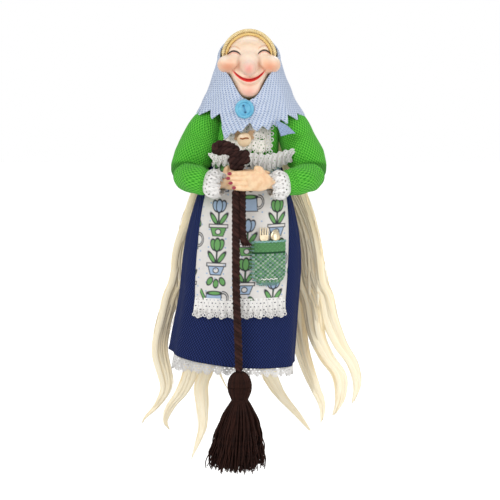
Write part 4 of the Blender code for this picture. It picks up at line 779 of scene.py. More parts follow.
def body_axis(drop):
    return -9.0 * (drop - SHOULDER) / (HEM - SHOULDER)


def body_sizes(drop, out=0.0):
    """Half sizes: read off a table down to the waist, then a flare that dies away exponentially."""
    t = (drop - SHOULDER) / (WAIST - SHOULDER)
    s = np.maximum(0, (drop - WAIST) / (HEM - WAIST))
    flare = (1 - np.exp(-s / 0.38)) / (1 - np.exp(-1 / 0.38))
    wide = np.where(drop < WAIST, 18 * np.interp(t, TORSO[:, 0], TORSO[:, 1]), 17.46 + 19.04 * flare)
    deep = np.where(drop < WAIST, 12 * np.interp(t, TORSO[:, 0], TORSO[:, 2]), 12 + 12 * flare)
    return wide + out, deep + out


def body_point(turn, drop, out=0.0):
    wide, deep = body_sizes(drop, out)
    return xyz(body_axis(drop) + wide * np.sin(turn), -deep * np.cos(turn), -drop)


def front_turn(x, drop, out=0.0):
    return np.arcsin(np.clip((x - body_axis(drop)) / body_sizes(drop, out)[0], -1, 1))


def side_shift(turn, share):
    """The skirt's sides are straighter than the stuffing: bells and a slope along its length, only where
    the ring faces sideways."""
    side = ramp(np.abs(np.sin(turn)), 0.78, 1) ** 1.5
    right = 2.2 * bell(share - 0.40, 0.24) - 2.2 * ramp(share, 0.55, 1)
    left = 2.3 * bell(share - 0.70, 0.20)
    return side * np.where(np.sin(turn) > 0, right, left)


def make_bodice():
    turn, drop = circle(128), np.linspace(45.3, 84, 30)[:, None]
    points = body_point(turn, drop + 0 * turn, 0.5 + 0.25 * np.sin(5 * turn + drop / 4))
    bodice = thicken(patches("green_bodice", points, GREEN_WEAVE, wrap=True, middle=64), 0.8)
    cloth(belongs(bodice, "doll", "bodice"), points, "stretched", ["body_core"], True)


def make_skirt():
    """Rings round the leaning body in soft folds that grow towards the hem, with a rolled edge."""
    turn, share = circle(240), steps(84)[:, None]
    drop = 80 + (115.8 + 2.6 * np.cos(turn) + 3.5 * np.sin(turn)) * share
    front = bell(off_front(turn), 1.0)
    folds = share ** 1.1 * (0.95 * np.sin(7 * turn + 0.9) + 0.5 * np.sin(12 * turn + 2.2 * share))
    gather = (1 - share) ** 3 * 0.5 * np.sin(26 * turn)
    out = 1.6 + (folds + gather) * (1 - 0.85 * front) - 0.1 * front + 0.35 * bell(share - 1, 0.012)
    points = body_point(turn, drop, out)
    points[..., 0] += side_shift(turn, share)
    skirt = thicken(patches("navy_skirt", points, NAVY_WEAVE, wrap=True, middle=120), 0.9)
    cloth(belongs(skirt, "doll", "skirt"), points, "hung", ["body_core"], True)


# Lace with real holes

# Left and right edge of the apron as shares of the skirt's half width, above and below
APRON_EDGES = ((-0.86, -0.658), (0.94, 0.742))
WHITE_LACE = woven("white_cotton_lace", (234, 230, 226), (252, 250, 247), 1.1, 1.3, 0.0002, 0.1, 0.6, 0.85)
IVORY_LACE = woven("ivory_cotton_lace", (238, 231, 212), (255, 252, 244), 1.1, 1.3, 0.0002, 0.1, 0.6, 0.85)


def lace_mask(u, v, length, scallop, depth, pitch, hole):
    """Net of round holes in offset rows, an arched row of larger holes in each scallop, and a lower edge
    that follows the scallops. u counts across and v down, at the middles of the grid's faces."""
    edge = length - depth * (1 - np.abs(np.sin(PI * u / scallop)))
    row = np.floor(v / (pitch * 0.87))
    a = (u / pitch + 0.5 * (row % 2)) % 1 - 0.5
    b = (v / (pitch * 0.87)) % 1 - 0.5
    net = np.hypot(a * pitch, b * pitch * 0.87) < hole
    picot = edge - v
    beads = (np.sin(2 * PI * u / (scallop / 6)) > 0.15) & (np.abs(picot - 1.0) < 0.36)
    body = (v > 0.9) & (picot > 1.9)
    rim = (picot < 0.35) & (np.sin(2 * PI * u / (scallop / 7)) < -0.55)
    return (v < edge) & ~(net & body) & ~beads & ~rim


def lace(name, surface, size, scallop, net, step, rests_on, stands_for=(), look=WHITE_LACE, held="gathered",
         closed=False, wall=0.3):
    """A grid over the surface, a function of share across and share down, without the mask's holes. size
    is the width and length, scallop their width and depth, and net the pitch and radius of its holes."""
    width, length = size
    columns, rows = int(width / step), max(6, int(length / step))
    s = np.arange(columns) / columns if closed else steps(columns)
    points = surface(*np.broadcast_arrays(s, steps(rows)[:, None]))
    faces = columns if closed else columns - 1
    u = (np.arange(faces) + 0.5) / faces * width
    v = (np.arange(rows - 1)[:, None] + 0.5) / (rows - 1) * length
    piece = thicken(patches(name, points, look, wrap=closed, keep=lace_mask(u, v, length, *scallop, *net)), wall)
    cloth(belongs(piece, "doll", *stands_for), points, held, rests_on, closed)


def rings(name, centres, radius):
    """Small loops of thread, which edge the lace: closed circles of one tube each."""
    turn = 2 * PI * steps(19)
    paths = centres[:, None] + radius * xyz(np.cos(turn), 0.15 * np.sin(2 * turn), np.sin(turn))
    belongs(tubes(name, paths, 0.36, WHITE_LACE, 6, (0, -1, 0)), "doll")


def apron_turn(s, t=1.0):
    """Turn round the skirt at a share across the apron and a share down it."""
    low, high = [np.arcsin(a + (b - a) * t) for a, b in APRON_EDGES]
    return low + (high - low) * s


def make_apron_lace():
    def hem(s, t):
        wave = (0.3 + 0.6 * t) * np.sin(2 * PI * 16 * s + 1.5 * np.sin(9 * s))
        return body_point(apron_turn(s), 157.4 + 12.2 * t, 3.3 + wave)

    lace("apron_hem_lace", hem, (56, 12.4), (7.0, 3.4), (2.3, 0.36), 0.2, ["printed_apron"], ["apron_lace"],
         held="hung")
    place = (np.arange(24) + 0.5) / 24
    fall = 168.2 - 1.6 * (1 - np.abs(np.sin(PI * 8 * place)))
    rings("apron_lace_rings_1", body_point(apron_turn(place), fall, 4.4), 0.85)
    place = (np.arange(16) + 0.5) / 16
    rings("apron_lace_rings_2", body_point(apron_turn(place), 165.6 + 0 * place, 4.4), 0.85)


def make_underskirt_lace():
    def under(s, t):
        turn = 2 * PI * s
        end = 205.8 - 1.9 * np.cos(turn) + 2.0 * np.sin(turn)
        out = 0.1 + 1.15 * t * np.sin(26 * turn) + 0.4 * t * np.sin(9 * turn)
        points = body_point(turn, 187.5 + (end - 187.5) * t, out)
        points[..., 0] += side_shift(turn, 0.92 + 0.08 * t)
        return points

    lace("underskirt_lace", under, (198, 20.0), (5.2, 2.4), (2.2, 0.5), 0.37, ["navy_skirt"],
         ["underskirt_frill"], closed=True, wall=0.35)


def make_waist_lace():
    def waist(s, t):
        beat, end = 2 * PI * 13 * s, 2 * s - 1
        x = -22.5 + 48.7 * s + 0.5 * np.sin(beat) * t + 1.3 * end ** 5 * np.sin(6 * t + 1)
        drop = 72.0 + (9.6 - 2.2 * end ** 6) * t + 1.6 * np.sin(2 * PI * (1.3 * s + 0.4))
        drop += (0.45 + 0.05 * t) * np.sin(beat + 1.5 * np.sin(8 * s))
        wave = (0.3 + 1.0 * t) * np.sin(2 * PI * 17 * s + 2 * t)
        return xyz(x, -(16.0 - 3.4 * ((x - 1.8) / 25) ** 2 + 1.5 * t + wave), -drop)

    lace("waist_lace", waist, (66, 9.6), (4.4, 2.0), (2.0, 0.32), 0.2, ["green_bodice"], ["waist_frill"])


def make_jabot():
    tiers = ((53.0, 8.0, -13.0, 12.4), (58.5, 8.0, -14.0, 12.0), (64.5, 8.5, -13.2, 11.6))
    for k, (top, length, left, right) in enumerate(tiers):
        def tier(s, t):
            drop = top + length * t + 0.9 * np.sin(2 * PI * (2 * s + 0.3 * k))
            x = left + (right - left) * s + 0.7 * np.sin(2 * PI * 6 * s) * t
            out = 1.6 + 0.5 * k + 0.8 * t + 0.8 * t * np.sin(2 * PI * 6 * s + k)
            return body_point(front_turn(x, drop, 1.8), drop, out)

        lace(f"jabot_lace_tier_{k + 1}", tier, (right - left + 8, length), (4.0, 2.0), (2.2, 0.36), 0.19,
             ["green_bodice"], [] if k else ["jabot"], IVORY_LACE)
    place = np.arange(9)
    right = 12.4 - 0.7 * (place > 4) + 0.85 * (-1.0) ** place, 58.2 + 1.75 * place
    left = np.array([-14.2, -13.9]), np.array([58.6, 61.4])
    for name, (x, drop) in (("jabot_edge_rings", right), ("jabot_left_rings", left)):
        rings(name, body_point(front_turn(x, drop, 4), drop, 4.2), 0.95)


def make_cuff(label, side, start, reach):
    """Two ruffles round the wrist: each bulges as a half sine of its length and waves round its edge."""
    end, way = wrist(side)
    first = unit(np.cross(way, (0, 0, 1.0)))
    second = np.cross(first, way)
    for k, name in enumerate((f"lace_cuff_{label}", f"lace_cuff_inner_{label}")):
        def ruffle(s, t):
            turn = -2 * PI * s
            wave = np.sin((11 + 2 * k) * turn + 1.2 * np.sin(3 * turn))
            out = 6.4 + (2.3 - 1.0 * k) * np.sin(PI * np.clip(1.15 * t, 0, 1)) - 0.6 * t + 0.9 * t * wave
            along = start + 3.4 * k + (reach - 1.6 * k) * t + 0.9 * t * np.sin(11 * turn + 1.3)
            across = 0.82 * out * np.cos(turn), out * np.sin(turn)
            return end + way * along[..., None] + first * across[0][..., None] + second * across[1][..., None]

        lace(name, ruffle, (48, 9.6), (4.4, 2.0), (2.4, 0.45), 0.26, [f"stuffed_forearm_{label}"],
             [] if k else [f"cuff_{label}"], closed=True)


# Arms and hands

UPPER_ARM = ((0, 0, -.06), (.17, .30, 0), (.36, .50, .04), (.56, .70, .12), (.77, .88, .20), (.91, .97, .26),
             (1, 1, .30))
FOREARM = ((-.10, .38), (.22, .68), (.62, .94), (1, 1.03))
ARM_TOP, ELBOW, HAND_DROP, HAND_REACH = 45 + 11.6 * 0.7, 89 - 0.3 * 8.3, 87.5, 28
FINGER_TIPS = (-0.43, -0.46, -0.41, -0.34)
# Radius and its shares along the tube
SLEEVES = {"sleeve": (11.6, (.66, .84, .90, .95, 1, .92, .66)), "forearm": (8.4, (.82, 1, 1, .97, .88))}
HAND_SKIN = Finish("painted_hand_skin", 0.42, Subsurface_Weight=0.06, Subsurface_Scale=0.002, Coat_Weight=0.1)
NAIL_PAINT = Finish("raspberry_nail_paint", 0.2, Coat_Weight=0.4, Base_Color=rgb((150, 24, 54)))
HAND_SKIN.colour(HAND_SKIN.mix(
    HAND_SKIN.node("MapRange", {0: HAND_SKIN.noise(HAND_SKIN.place(), 0.30), 1: 0.35, 2: 0.65}),
    rgb((234, 190, 146)), rgb((246, 214, 174))))


def arm_route(side):
    """Centres of the upper arm and the forearm, as in the solids."""
    upper = [(side * (21 + 16.5 * out), -25.5 * forward, -(ARM_TOP + (91 - ARM_TOP) * along))
             for along, out, forward in UPPER_ARM]
    lower = [(side * (37.5 - 12.7 * t), -25.5 * forward, -(ELBOW + (89 - ELBOW) * max(t, 0)))
             for t, forward in FOREARM]
    return np.array(upper), np.array(lower)


def wrist(side):
    lower = arm_route(side)[1]
    return lower[-1], unit(lower[-1] - lower[-2])


def make_sleeve(label, side):
    """Tubes whose radius is read off a table; creases are bells across the bend of the elbow and slow
    sines along the arm. The cloth gets painted shade where the two tubes meet and beside the body."""
    upper, lower = arm_route(side)
    upper = np.concatenate([[upper[0] + (-side * 4.6, 0, 3.4)], upper])
    lower = np.concatenate([lower, [lower[-1] + wrist(side)[1] * (4.6 if side > 0 else 2.0)]])
    paths = {"sleeve": even(smooth_route(upper, 200), 110), "forearm": even(smooth_route(lower, 200), 110)}
    turn, t = circle(96), steps(110)[:, None]
    cap = np.sqrt(np.clip(1 - (1 - ramp(np.minimum(t, 1 - t), 0, 1 / 9)) ** 2, 0.02, 1))
    inner = 0.5 + 0.5 * np.cos(turn + side * PI / 2)
    creases = {
        "sleeve": -0.7 * bell(t - 0.84, 0.03) - 0.5 * bell(t - 0.74, 0.025) + 0.3 * bell(t - 0.79, 0.03),
        "forearm": -0.45 * bell(t - 0.30, 0.05) - 0.35 * bell(t - 0.86, 0.03)}
    for kind, other, near, node in (("sleeve", "forearm", 0.98, "upper"), ("forearm", "sleeve", 0.92, "forearm")):
        path, (size, shares) = paths[kind], SLEEVES[kind]
        radius = size * np.interp(t, steps(len(shares)), shares) * cap
        points = tube_points(path[None], radius[None, :, 0], 96, (0, -1, 0))[0]
        wrinkle = creases[kind] * inner * 1.6 + 0.18 * np.sin(14 * t + 3 * turn) * cap
        points += unit(points - path[:, None]) * wrinkle[..., None]
        # Painted shade where the upper sleeve and the forearm meet, and beside the body.
        gap = np.linalg.norm(points[:, :, None] - paths[other][None, None, ::5], axis=3).min(2)
        fold_shade = 0.6 * bell(np.maximum(gap - SLEEVES[other][0] * near, 0), 1.3)
        if kind == "sleeve":
            fold_shade += 0.45 * np.clip((21.5 - side * points[..., 0]) / 7, 0, 1)
        flat = np.stack(np.broadcast_arrays(2 * PI * size * np.arange(97) / 96, run(path)[:, None]), -1)
        sleeve = patches(f"stuffed_{kind}_{label}", points, GREEN_WEAVE, wrap=True, caps=True, flat=flat,
                         fold_shade=np.clip(fold_shade, 0, 1))
        belongs(sleeve, "doll", f"sleeve_{node}_{label}")


def melted(raw, name):
    """The tubes and ball of a hand made one skin by a voxel remesh and smoothing."""
    bpy.ops.object.select_all(action="DESELECT")
    for thing in raw:
        thing.select_set(True)
    bpy.context.view_layer.objects.active = raw[0]
    bpy.ops.object.join()
    melt = raw[0].modifiers.new("melt", "REMESH")
    melt.mode, melt.voxel_size, melt.use_smooth_shade = "VOXEL", 0.00030, True
    ease = raw[0].modifiers.new("ease", "SMOOTH")
    ease.factor, ease.iterations = 0.5, 2
    graph = bpy.context.evaluated_depsgraph_get()
    skin = bpy.data.meshes.new_from_object(raw[0].evaluated_get(graph))
    skin.name = name
    made = placed(name, skin)
    bpy.data.objects.remove(raw[0])
    return made


def make_hand(label, side, front):
    """Palm, fingers, thumb and wrist as a ball and tubes. The front hand lies over the cord and shows
    painted nails, the other is behind it."""
    end, way = wrist(side)
    ahead = 1 if front else -1
    reach = side * HAND_REACH
    plane, near = BROOM_Y - ahead * 5.3, ahead * 0.8
    palm = np.array([reach * (0.20 if front else 0.38), plane, -HAND_DROP])
    skin = HAND_SKIN.made
    raw = [ball(f"palm_{label}", palm, (HAND_REACH * 0.27, 2.7, 5.9), skin)]

    def limb(name, points, count, size, shares, sides=12):
        radius = size * table(steps(count), shares)
        raw.append(tubes(name, smooth_route(points, count)[None], radius, skin, sides))

    heel = end + way * 5.5
    limb(f"wrist_{label}", [end - way * 3, end + way * 2.6, heel, (heel + palm) / 2 + way, palm], 40, 1,
         ((0, 3.3), (.5, 3.2), (1, 3.6)), 16)
    tips = []
    for k, tip in enumerate(FINGER_TIPS):
        height = 5.8 * (0.74 - 0.48 * k)
        bend = palm + (-reach * 0.28, near - ahead * 0.5, height * 1.02)
        tips.append(np.array([reach * tip, plane + near + ahead * 0.4, height * 0.97 - HAND_DROP]))
        limb(f"finger_{label}_{k}", [palm + (0, near, height), bend, tips[-1]], 30, 1.62,
             ((0, 1.1), (.45, 1.0), (.55, 1.08), (.8, 0.95), (.93, 0.8), (1, 0.35)))
    lean = -0.10 if front else 0.10
    thumb = [palm + (side * 2.8, 0, 2.3), palm + (reach * (0.05 + lean / 4), 0, 6.4), palm + (reach * lean, 0, 7.6)]
    limb(f"thumb_{label}", thumb, 24, 1.85, ((0, 1), (.5, 1.1), (.85, .9), (1, .45)))
    belongs(melted(raw, f"painted_hand_{label}"), "doll", f"hand_{label}")
    if front:
        for k, tip in enumerate(tips):
            nail = ball(f"nail_{k + 1}", tip + (side, -1.45, 0.1), (1.35, 0.45, 0.95), NAIL_PAINT.made, 10, 14)
            belongs(nail, "doll")


make_kerchief()
make_flap()
make_bodice()
make_skirt()
make_apron_lace()
make_underskirt_lace()
make_waist_lace()
make_jabot()
make_cuff("left", -1, 0.2, 10.2)
make_cuff("right", 1, 3.2, 10.6)
for label, side in (("left", -1), ("right", 1)):
    make_sleeve(label, side)
    make_hand(label, side, side > 0)


# Apron with its print, and the knitted pocket

APRON_TOP, APRON_LENGTH = 79.6, 79.0
PRINT_SCALE, COLUMN_PITCH, ROW_PITCH, SPOT_PITCH, FAR = 1.65, 10.6, 13.6, 3.1, 50.0
APRON_GREEN, APRON_BLUE = linear(108, 166, 96), linear(164, 186, 212)
APRON_WHITE, APRON_INK = linear(226, 222, 218), linear(44, 46, 52)


def ellipse(x, y, a, b, lean=0.0):
    """Rough distance to a leaning ellipse, below zero inside."""
    c, s = np.cos(lean), np.sin(lean)
    return (np.hypot((x * c + y * s) / a, (-x * s + y * c) / b) - 1) * min(a, b)


def slab(x, y, a, b, slant=0.0):
    """Distance to a box of half sizes a and b whose width grows upwards by the slant."""
    return np.maximum(np.abs(x) - (a + slant * y), np.abs(y) - b)


def apron_print(u, v):
    """Potted tulips, leaf sprigs and watering cans in half-drop columns, each shape filled and edged
    with a dark line, over dotted ground."""
    paint = np.tile(APRON_WHITE, u.shape + (1,))
    u, v = u / PRINT_SCALE, v / PRINT_SCALE
    column = np.floor(u / COLUMN_PITCH)
    q = v / ROW_PITCH + 0.5 * (column % 2)
    kind = (column + 2 * np.floor(q)) % 3
    x, y = (u / COLUMN_PITCH - column - 0.5) * COLUMN_PITCH, (0.5 - (q - np.floor(q))) * ROW_PITCH

    def fill(which, shape, colour, line=0.17):
        nonlocal paint
        shape = np.where(kind == which, shape, FAR)
        inside = np.clip(0.5 - shape / 0.2, 0, 1)[..., None]
        ink = np.clip(1.5 - np.abs(shape) / line, 0, 1)[..., None]
        paint = (paint * (1 - inside) + colour * inside) * (1 - ink) + APRON_INK * ink

    for which, pot, bloom in ((0, APRON_BLUE, APRON_GREEN), (1, APRON_GREEN, APRON_BLUE)):
        fill(which, slab(x, y + 0.2, 0.16, 3.4), APRON_GREEN, 0.16)
        for side in (-1, 1):
            fill(which, ellipse(x - side * 1.8, y + 0.6, 0.75, 2.3, -side * 0.6), APRON_GREEN)
            fill(which, ellipse(x - side * 1.3, y - 3.9, 1.15, 2.0, -side * 0.30), bloom)
        fill(which, ellipse(x, y - 3.9, 1.15, 2.3), bloom)
        fill(which, slab(x, y + 5.0, 2.5, 1.7, 0.35), pot)
        fill(which, slab(x, y + 3.1, 3.5, 0.55), APRON_WHITE)
        fill(which, ellipse(x, y + 5.1, 1.0, 0.9), APRON_WHITE, 0.16)
    fill(2, slab(x + 0.2, y + 2.2, 3.0, 2.4, -0.12), APRON_BLUE)
    fill(2, ellipse(x, y - 0.4, 2.6, 0.7), APRON_GREEN)
    fill(2, np.abs(ellipse(x - 3.2, y + 1.4, 1.7, 2.1)) - 0.28 + np.where(x < 2.9, FAR, 0), APRON_WHITE, 0.16)
    fill(2, slab(x + 4.1 + 0.55 * (y + 0.6), y + 0.6, 0.55, 2.3), APRON_GREEN)
    for k in range(3):
        fill(2, ellipse(x - 2.6 + 2.3 * k, y - 4.6 + 0.8 * (k % 2), 0.95, 1.5, 0.5 - 0.5 * k), APRON_GREEN)
    a, b = u / SPOT_PITCH % 1 - 0.5, (v / SPOT_PITCH + 0.5 * (np.floor(u / SPOT_PITCH) % 2)) % 1 - 0.5
    spots = (np.hypot(a, b) * SPOT_PITCH < 0.30) & (np.abs(paint - APRON_WHITE).sum(-1) < 0.02)
    paint[spots] = APRON_BLUE
    return paint


def make_apron(rows=270, columns=150):
    """Between two shares of the skirt's half width, with a few soft drapes; the print is painted by place
    and is darker along the sewn edges."""
    s, t = steps(columns), steps(rows)[:, None]
    drape = 0.22 * t * np.sin(2 * PI * 3.2 * s + 0.6) + 0.12 * np.sin(9 * t + 5 * s)
    points = body_point(apron_turn(s, t), APRON_TOP + APRON_LENGTH * t, 2.9 + drape)
    u = np.cumsum(np.linalg.norm(np.diff(points, axis=1, prepend=points[:, :1]), axis=2), 1)
    u = u - u[:, columns // 2:columns // 2 + 1] + 60
    paint = apron_print(u, APRON_LENGTH * t + 3.0)
    paint = paint * np.where(np.minimum(s, 1 - s) * 50 < 0.9, 0.93, 1)[:, None]
    look = painted("printed_apron_cotton", 0.9, 1.6, 0.00015, Sheen_Weight=0.1)
    apron = belongs(thicken(patches("printed_apron", points, look, paint=paint), 0.5), "doll", "apron")
    cloth(apron, points, "hung", ["navy_skirt"])


POCKET_X, POCKET_WIDTH, POCKET_TOP, POCKET_HEIGHT = 11.45, 19.5, 124.0, 24.9
STITCHES, COURSES, BORDER = 15, 21, 5
KNIT_GREEN, KNIT_LEAF, KNIT_LINE = linear(66, 132, 78), linear(98, 160, 100), linear(18, 74, 40)
KNIT_GREY, KNIT_PALE = linear(132, 158, 150), linear(172, 192, 176)


def pocket_spot(s, t):
    """Sideways place and drop at shares of the pocket's width and height, whose lower corners are round."""
    width = POCKET_WIDTH * (1 - 0.42 * ramp(t, 0.70, 1) ** 2.6)
    return POCKET_X + width * (s - 0.5), POCKET_TOP + POCKET_HEIGHT * t


def on_apron(x, drop, out):
    return body_point(front_turn(x, drop, 5.0), drop, out)


def knit_paint(column, row, stitch):
    """Nested diamonds below a border of two greens and a dark line; the hollows between the stitches
    get painted shade.
    """
    cell = (np.abs((column - 7) % 8 - 4) + np.abs((row - 3) % 8 - 4)) % 4
    checks = np.where((column + row) % 2 == 0, 1, 0.8)[..., None] * KNIT_LEAF
    cell, row = cell[..., None], (row + 0 * column)[..., None]
    paint = np.select([row < BORDER, row == BORDER, cell == 0, cell == 1, cell == 2],
                      [checks, KNIT_LINE, KNIT_PALE, KNIT_LEAF, KNIT_GREY], KNIT_GREEN)
    # Painted shade: the colour darkens where the stitch lumps are low.
    return paint * (0.56 + 0.44 * stitch)[..., None]


def make_pocket(rows=200, columns=150):
    """Stockinette: every stitch is two slanting lumps that form a V; the pocket bulges and its mouth gapes."""
    s, t = steps(columns), steps(rows)[:, None]
    column, row = np.floor(s * STITCHES), np.floor(t * COURSES)
    a, b = s * STITCHES - column - 0.5, t * COURSES - row - 0.5
    arm = np.abs(np.abs(a) - 0.24 + 0.20 * b)
    stitch = np.sqrt(np.clip(1 - (arm / 0.24) ** 2, 0, 1)) * (1 - 0.35 * (2 * b) ** 4)
    bulge = np.sin(PI * s) * (1.4 * np.sin(PI * np.clip(t, 0.02, 1)) + 0.9 * bell(t, 0.06))
    edge = np.clip(np.minimum(np.minimum(s, 1 - s) * POCKET_WIDTH, (1 - t) * POCKET_HEIGHT) / 1.3, 0, 1)
    points = on_apron(*pocket_spot(s, t), 4.4 + 2.2 * np.sqrt(edge) + 0.35 * bulge + 0.42 * stitch * edge)
    look = painted("knitted_pocket_wool", 0.92, 2.5, 0.00015, Sheen_Weight=0.2)
    pocket = patches("knitted_pocket", points, look, paint=knit_paint(column, row, stitch))
    cloth(belongs(thicken(pocket, 0.6, -1.0), "doll", "pocket"), points, "hung", ["printed_apron"])


def make_pocket_edging():
    """Blanket stitches down both sides and along the foot, a yarn round the mouth and a white stitch line."""
    wool = threads("pale_edging_wool", (96, 148, 140), (160, 200, 196), 0.9, 3.0, 0.8, 0.0002, tones=False)
    down = np.linspace(0.03, 1, 12)
    s = np.concatenate([0 * down, np.linspace(0.08, 0.92, 10), 1 + 0 * down])[:, None]
    t = np.concatenate([down, np.ones(10), down[::-1]])[:, None]
    inward = np.repeat([1, 0, -1], [12, 10, 12])[:, None]
    step = np.linspace(-0.6, 1.0, 9)
    x, drop = pocket_spot(s, t)
    loops = on_apron(x + inward * 1.7 * step, drop - (inward == 0) * 1.7 * step,
                     3.9 + 2.6 * np.sin(PI * (step + 0.6) / 3.0))
    belongs(tubes("pocket_blanket_stitch", loops, 0.34, wool, 6, (0, 0, 1)), "doll")
    s = steps(80)
    turn = front_turn(1.7 + POCKET_WIDTH * s, POCKET_TOP, 5.0)
    mouth = body_point(turn, POCKET_TOP + 0.25 * np.sin(60 * s), 6.9 + 0.5 * np.sin(PI * s) - 1.6 * (2 * s - 1) ** 8)
    belongs(tubes("pocket_rim_yarn", mouth[None], 0.55, wool, 8, (0, 0, 1)), "doll")
    x = np.linspace(6.3, 15.4, 40)
    low = body_point(front_turn(x, 146, 5.0), 145.8 + 0.3 * np.sin(x * 2.5), 7.4)
    belongs(tubes("pocket_white_stitch", low[None], 0.28, WHITE_LACE, 6, (0, 0, 1)), "doll")


# Long hair: strands gathered at the nape that fan out, wave and end in points

NAPE_DROP = 61.4
# Width of each lock, and its route behind the body as shares of the hair's half width and of its fall
LOCKS = {
    "left_outer": (3.4, ((-0.62, 0), (-0.68, 0.08), (-0.73, 0.18), (-0.78, 0.30), (-0.785, 0.39),
                         (-0.745, 0.50), (-0.735, 0.58), (-0.81, 0.66), (-0.91, 0.72), (-0.95, 0.77))),
    "left_middle": (4.6, ((-0.48, 0), (-0.50, 0.25), (-0.53, 0.48), (-0.60, 0.60), (-0.70, 0.68),
                          (-0.75, 0.76), (-0.71, 0.81))),
    "left_floor": (3.4, ((-0.34, 0), (-0.36, 0.25), (-0.38, 0.48), (-0.43, 0.58), (-0.42, 0.70),
                         (-0.42, 0.80), (-0.45, 0.87), (-0.52, 0.985))),
    "left_thin": (0.9, ((-0.20, 0), (-0.23, 0.25), (-0.265, 0.48), (-0.23, 0.56), (-0.165, 0.63))),
    "right_inner": (3.6, ((0.11, 0), (0.14, 0.25), (0.165, 0.48), (0.225, 0.58), (0.31, 0.655),
                          (0.43, 0.73), (0.55, 0.81))),
    "right_middle": (4.4, ((0.33, 0), (0.39, 0.13), (0.46, 0.37), (0.55, 0.525), (0.64, 0.655),
                           (0.64, 0.755))),
    "right_long": (4.6, ((0.475, 0), (0.55, 0.12), (0.59, 0.28), (0.68, 0.40), (0.79, 0.50), (0.80, 0.62),
                         (0.74, 0.72))),
    "right_outer": (4.4, ((0.60, 0), (0.655, 0.07), (0.70, 0.20), (0.79, 0.33), (0.91, 0.44), (0.95, 0.55),
                          (0.91, 0.65)))}


def hair_depth(x, drop):
    """Inner side of the hair behind the body: an ellipse that widens down to the hem."""
    share = np.sin(ramp(drop, 61.1, 150) * PI / 2)
    back = np.where(drop <= 150, 16 + 12.5 * share, 28.5 + 2.5 * ramp(drop, 150, HEM))
    ratio = (x - body_axis(np.minimum(drop, HEM))) / (30 + 23 * share)
    return (back - 2.0) * np.sqrt(np.maximum(0.12, 1 - ratio * ratio))


def strands(route, count, width, seed, start_x, ends=(0.8, 1.0), loose=1.0):
    """Paths of wisps in one lock: each keeps an offset in the lock's section, waves by its own slow sine,
    and stops somewhere between two shares of the route. The lock narrows to a point at its end."""
    rng = np.random.default_rng(seed)
    first = route[0][0]
    line = [(start_x, NAPE_DROP), (start_x * 1.3 + 0.15 * first, 82), (start_x * 0.3 + 0.72 * first, 112),
            (start_x * 0.1 + 0.88 * first, 132), *route]
    line = even(smooth_route(line, 400), 400)
    where = steps(70)[:, None] * rng.uniform(*ends, count)
    x, drop = [np.interp(where, steps(400), line[:, k]) for k in (0, 1)]
    spot, out = rng.uniform(-1, 1, count), rng.uniform(-1, 1, count)
    size = width * table(where, ((0, 0.75), (0.12, 1), (0.5, 1), (0.8, 0.8), (0.93, 0.5), (1, 0.15)))
    wave = loose * 0.4 * np.sin(2 * PI * (where * rng.uniform(2.0, 3.5, count) + rng.uniform(0, 1, count)))
    roll = 0.5 * np.sin(2 * PI * (where * 1.8 + seed * 0.37))
    x = x + size * (spot * np.cos(roll) + wave * 0.4)
    inner = hair_depth(x, drop)
    y = inner + 2.0 + (out + spot * np.sin(roll)) * np.clip(size / width, 0.3, 1) + 0.3 * wave
    return xyz(x, np.maximum(y, inner + 0.3), -drop).transpose(1, 0, 2)


def wisps(name, paths, size, tones, *replaced):
    """Flat fluted tubes, wide across and thin in depth, which end in points and grow paler on the way."""
    along = steps(paths.shape[1])
    taper = table(along, ((0, 0.7), (0.06, 1), (0.6, 1), (0.88, 0.72), (1, 0.10)))
    tones = np.clip(tones[:, None] * 0.6 + 0.9 * along ** 1.3 - 0.1, 0, 1)
    belongs(tubes(name, paths, size * taper, GLOWING_PALE_HAIR, 14, (1, 0, 0), 0.34, tones, 5, 0.12), "hair", *replaced)


def stray_hairs(name, paths, size, tones):
    taper = np.minimum(1, (1 - steps(paths.shape[1])) * 6 + 0.12)
    belongs(tubes(name, paths, size * taper, GLOWING_PALE_HAIR, 4, tone=tones), "hair")


def make_locks(rng):
    for k, (name, (width, shares)) in enumerate(LOCKS.items()):
        route = [(70 * a, 152.7 + 117 * b) for a, b in shares]
        start = 12.0 * shares[0][0] / 0.62
        count, size, many, spread = (5, 1.3, 6, 1.6) if name == "left_thin" else (11, 2.3, 26, 6.0)
        paths = strands(route, count, width, k + 3, start, (0.95, 1.0), 0.7)
        wisps(f"hair_{name}", paths, size, rng.uniform(0.2, 1.0, count), f"hair_lock_{name}")
        paths = strands(route, many, spread, k + 23, start)
        stray_hairs(f"hair_{name}_strays", paths, 0.20, rng.uniform(0.2, 1.0, many))


def back_paths(rng, count, low, spread):
    """Hairs that fan out from the nape by a power of a sine and wave slowly, and their tones."""
    start = rng.uniform(-12.5, 12.5, count)
    t = steps(38)[:, None]
    end = rng.uniform(146, 180, count)
    begin = NAPE_DROP - rng.uniform(0, 2.2, count)
    drop = begin + (end - begin) * t
    fan = np.sin(ramp(drop, NAPE_DROP, 149.4) * PI / 2) ** 1.2
    wave = t * rng.uniform(0.8, 1.8, count) + 0.04 * start + rng.uniform(0, spread, count)
    x = start * (1 + 2.65 * fan) + 0.8 * np.sin(2 * PI * wave)
    y = hair_depth(x, drop) + (low + rng.uniform(0, 1.9, count)) * (1 - 0.4 * t ** 3)
    return xyz(x, y, -drop).transpose(1, 0, 2), rng.uniform(0.15, 1.0, count)


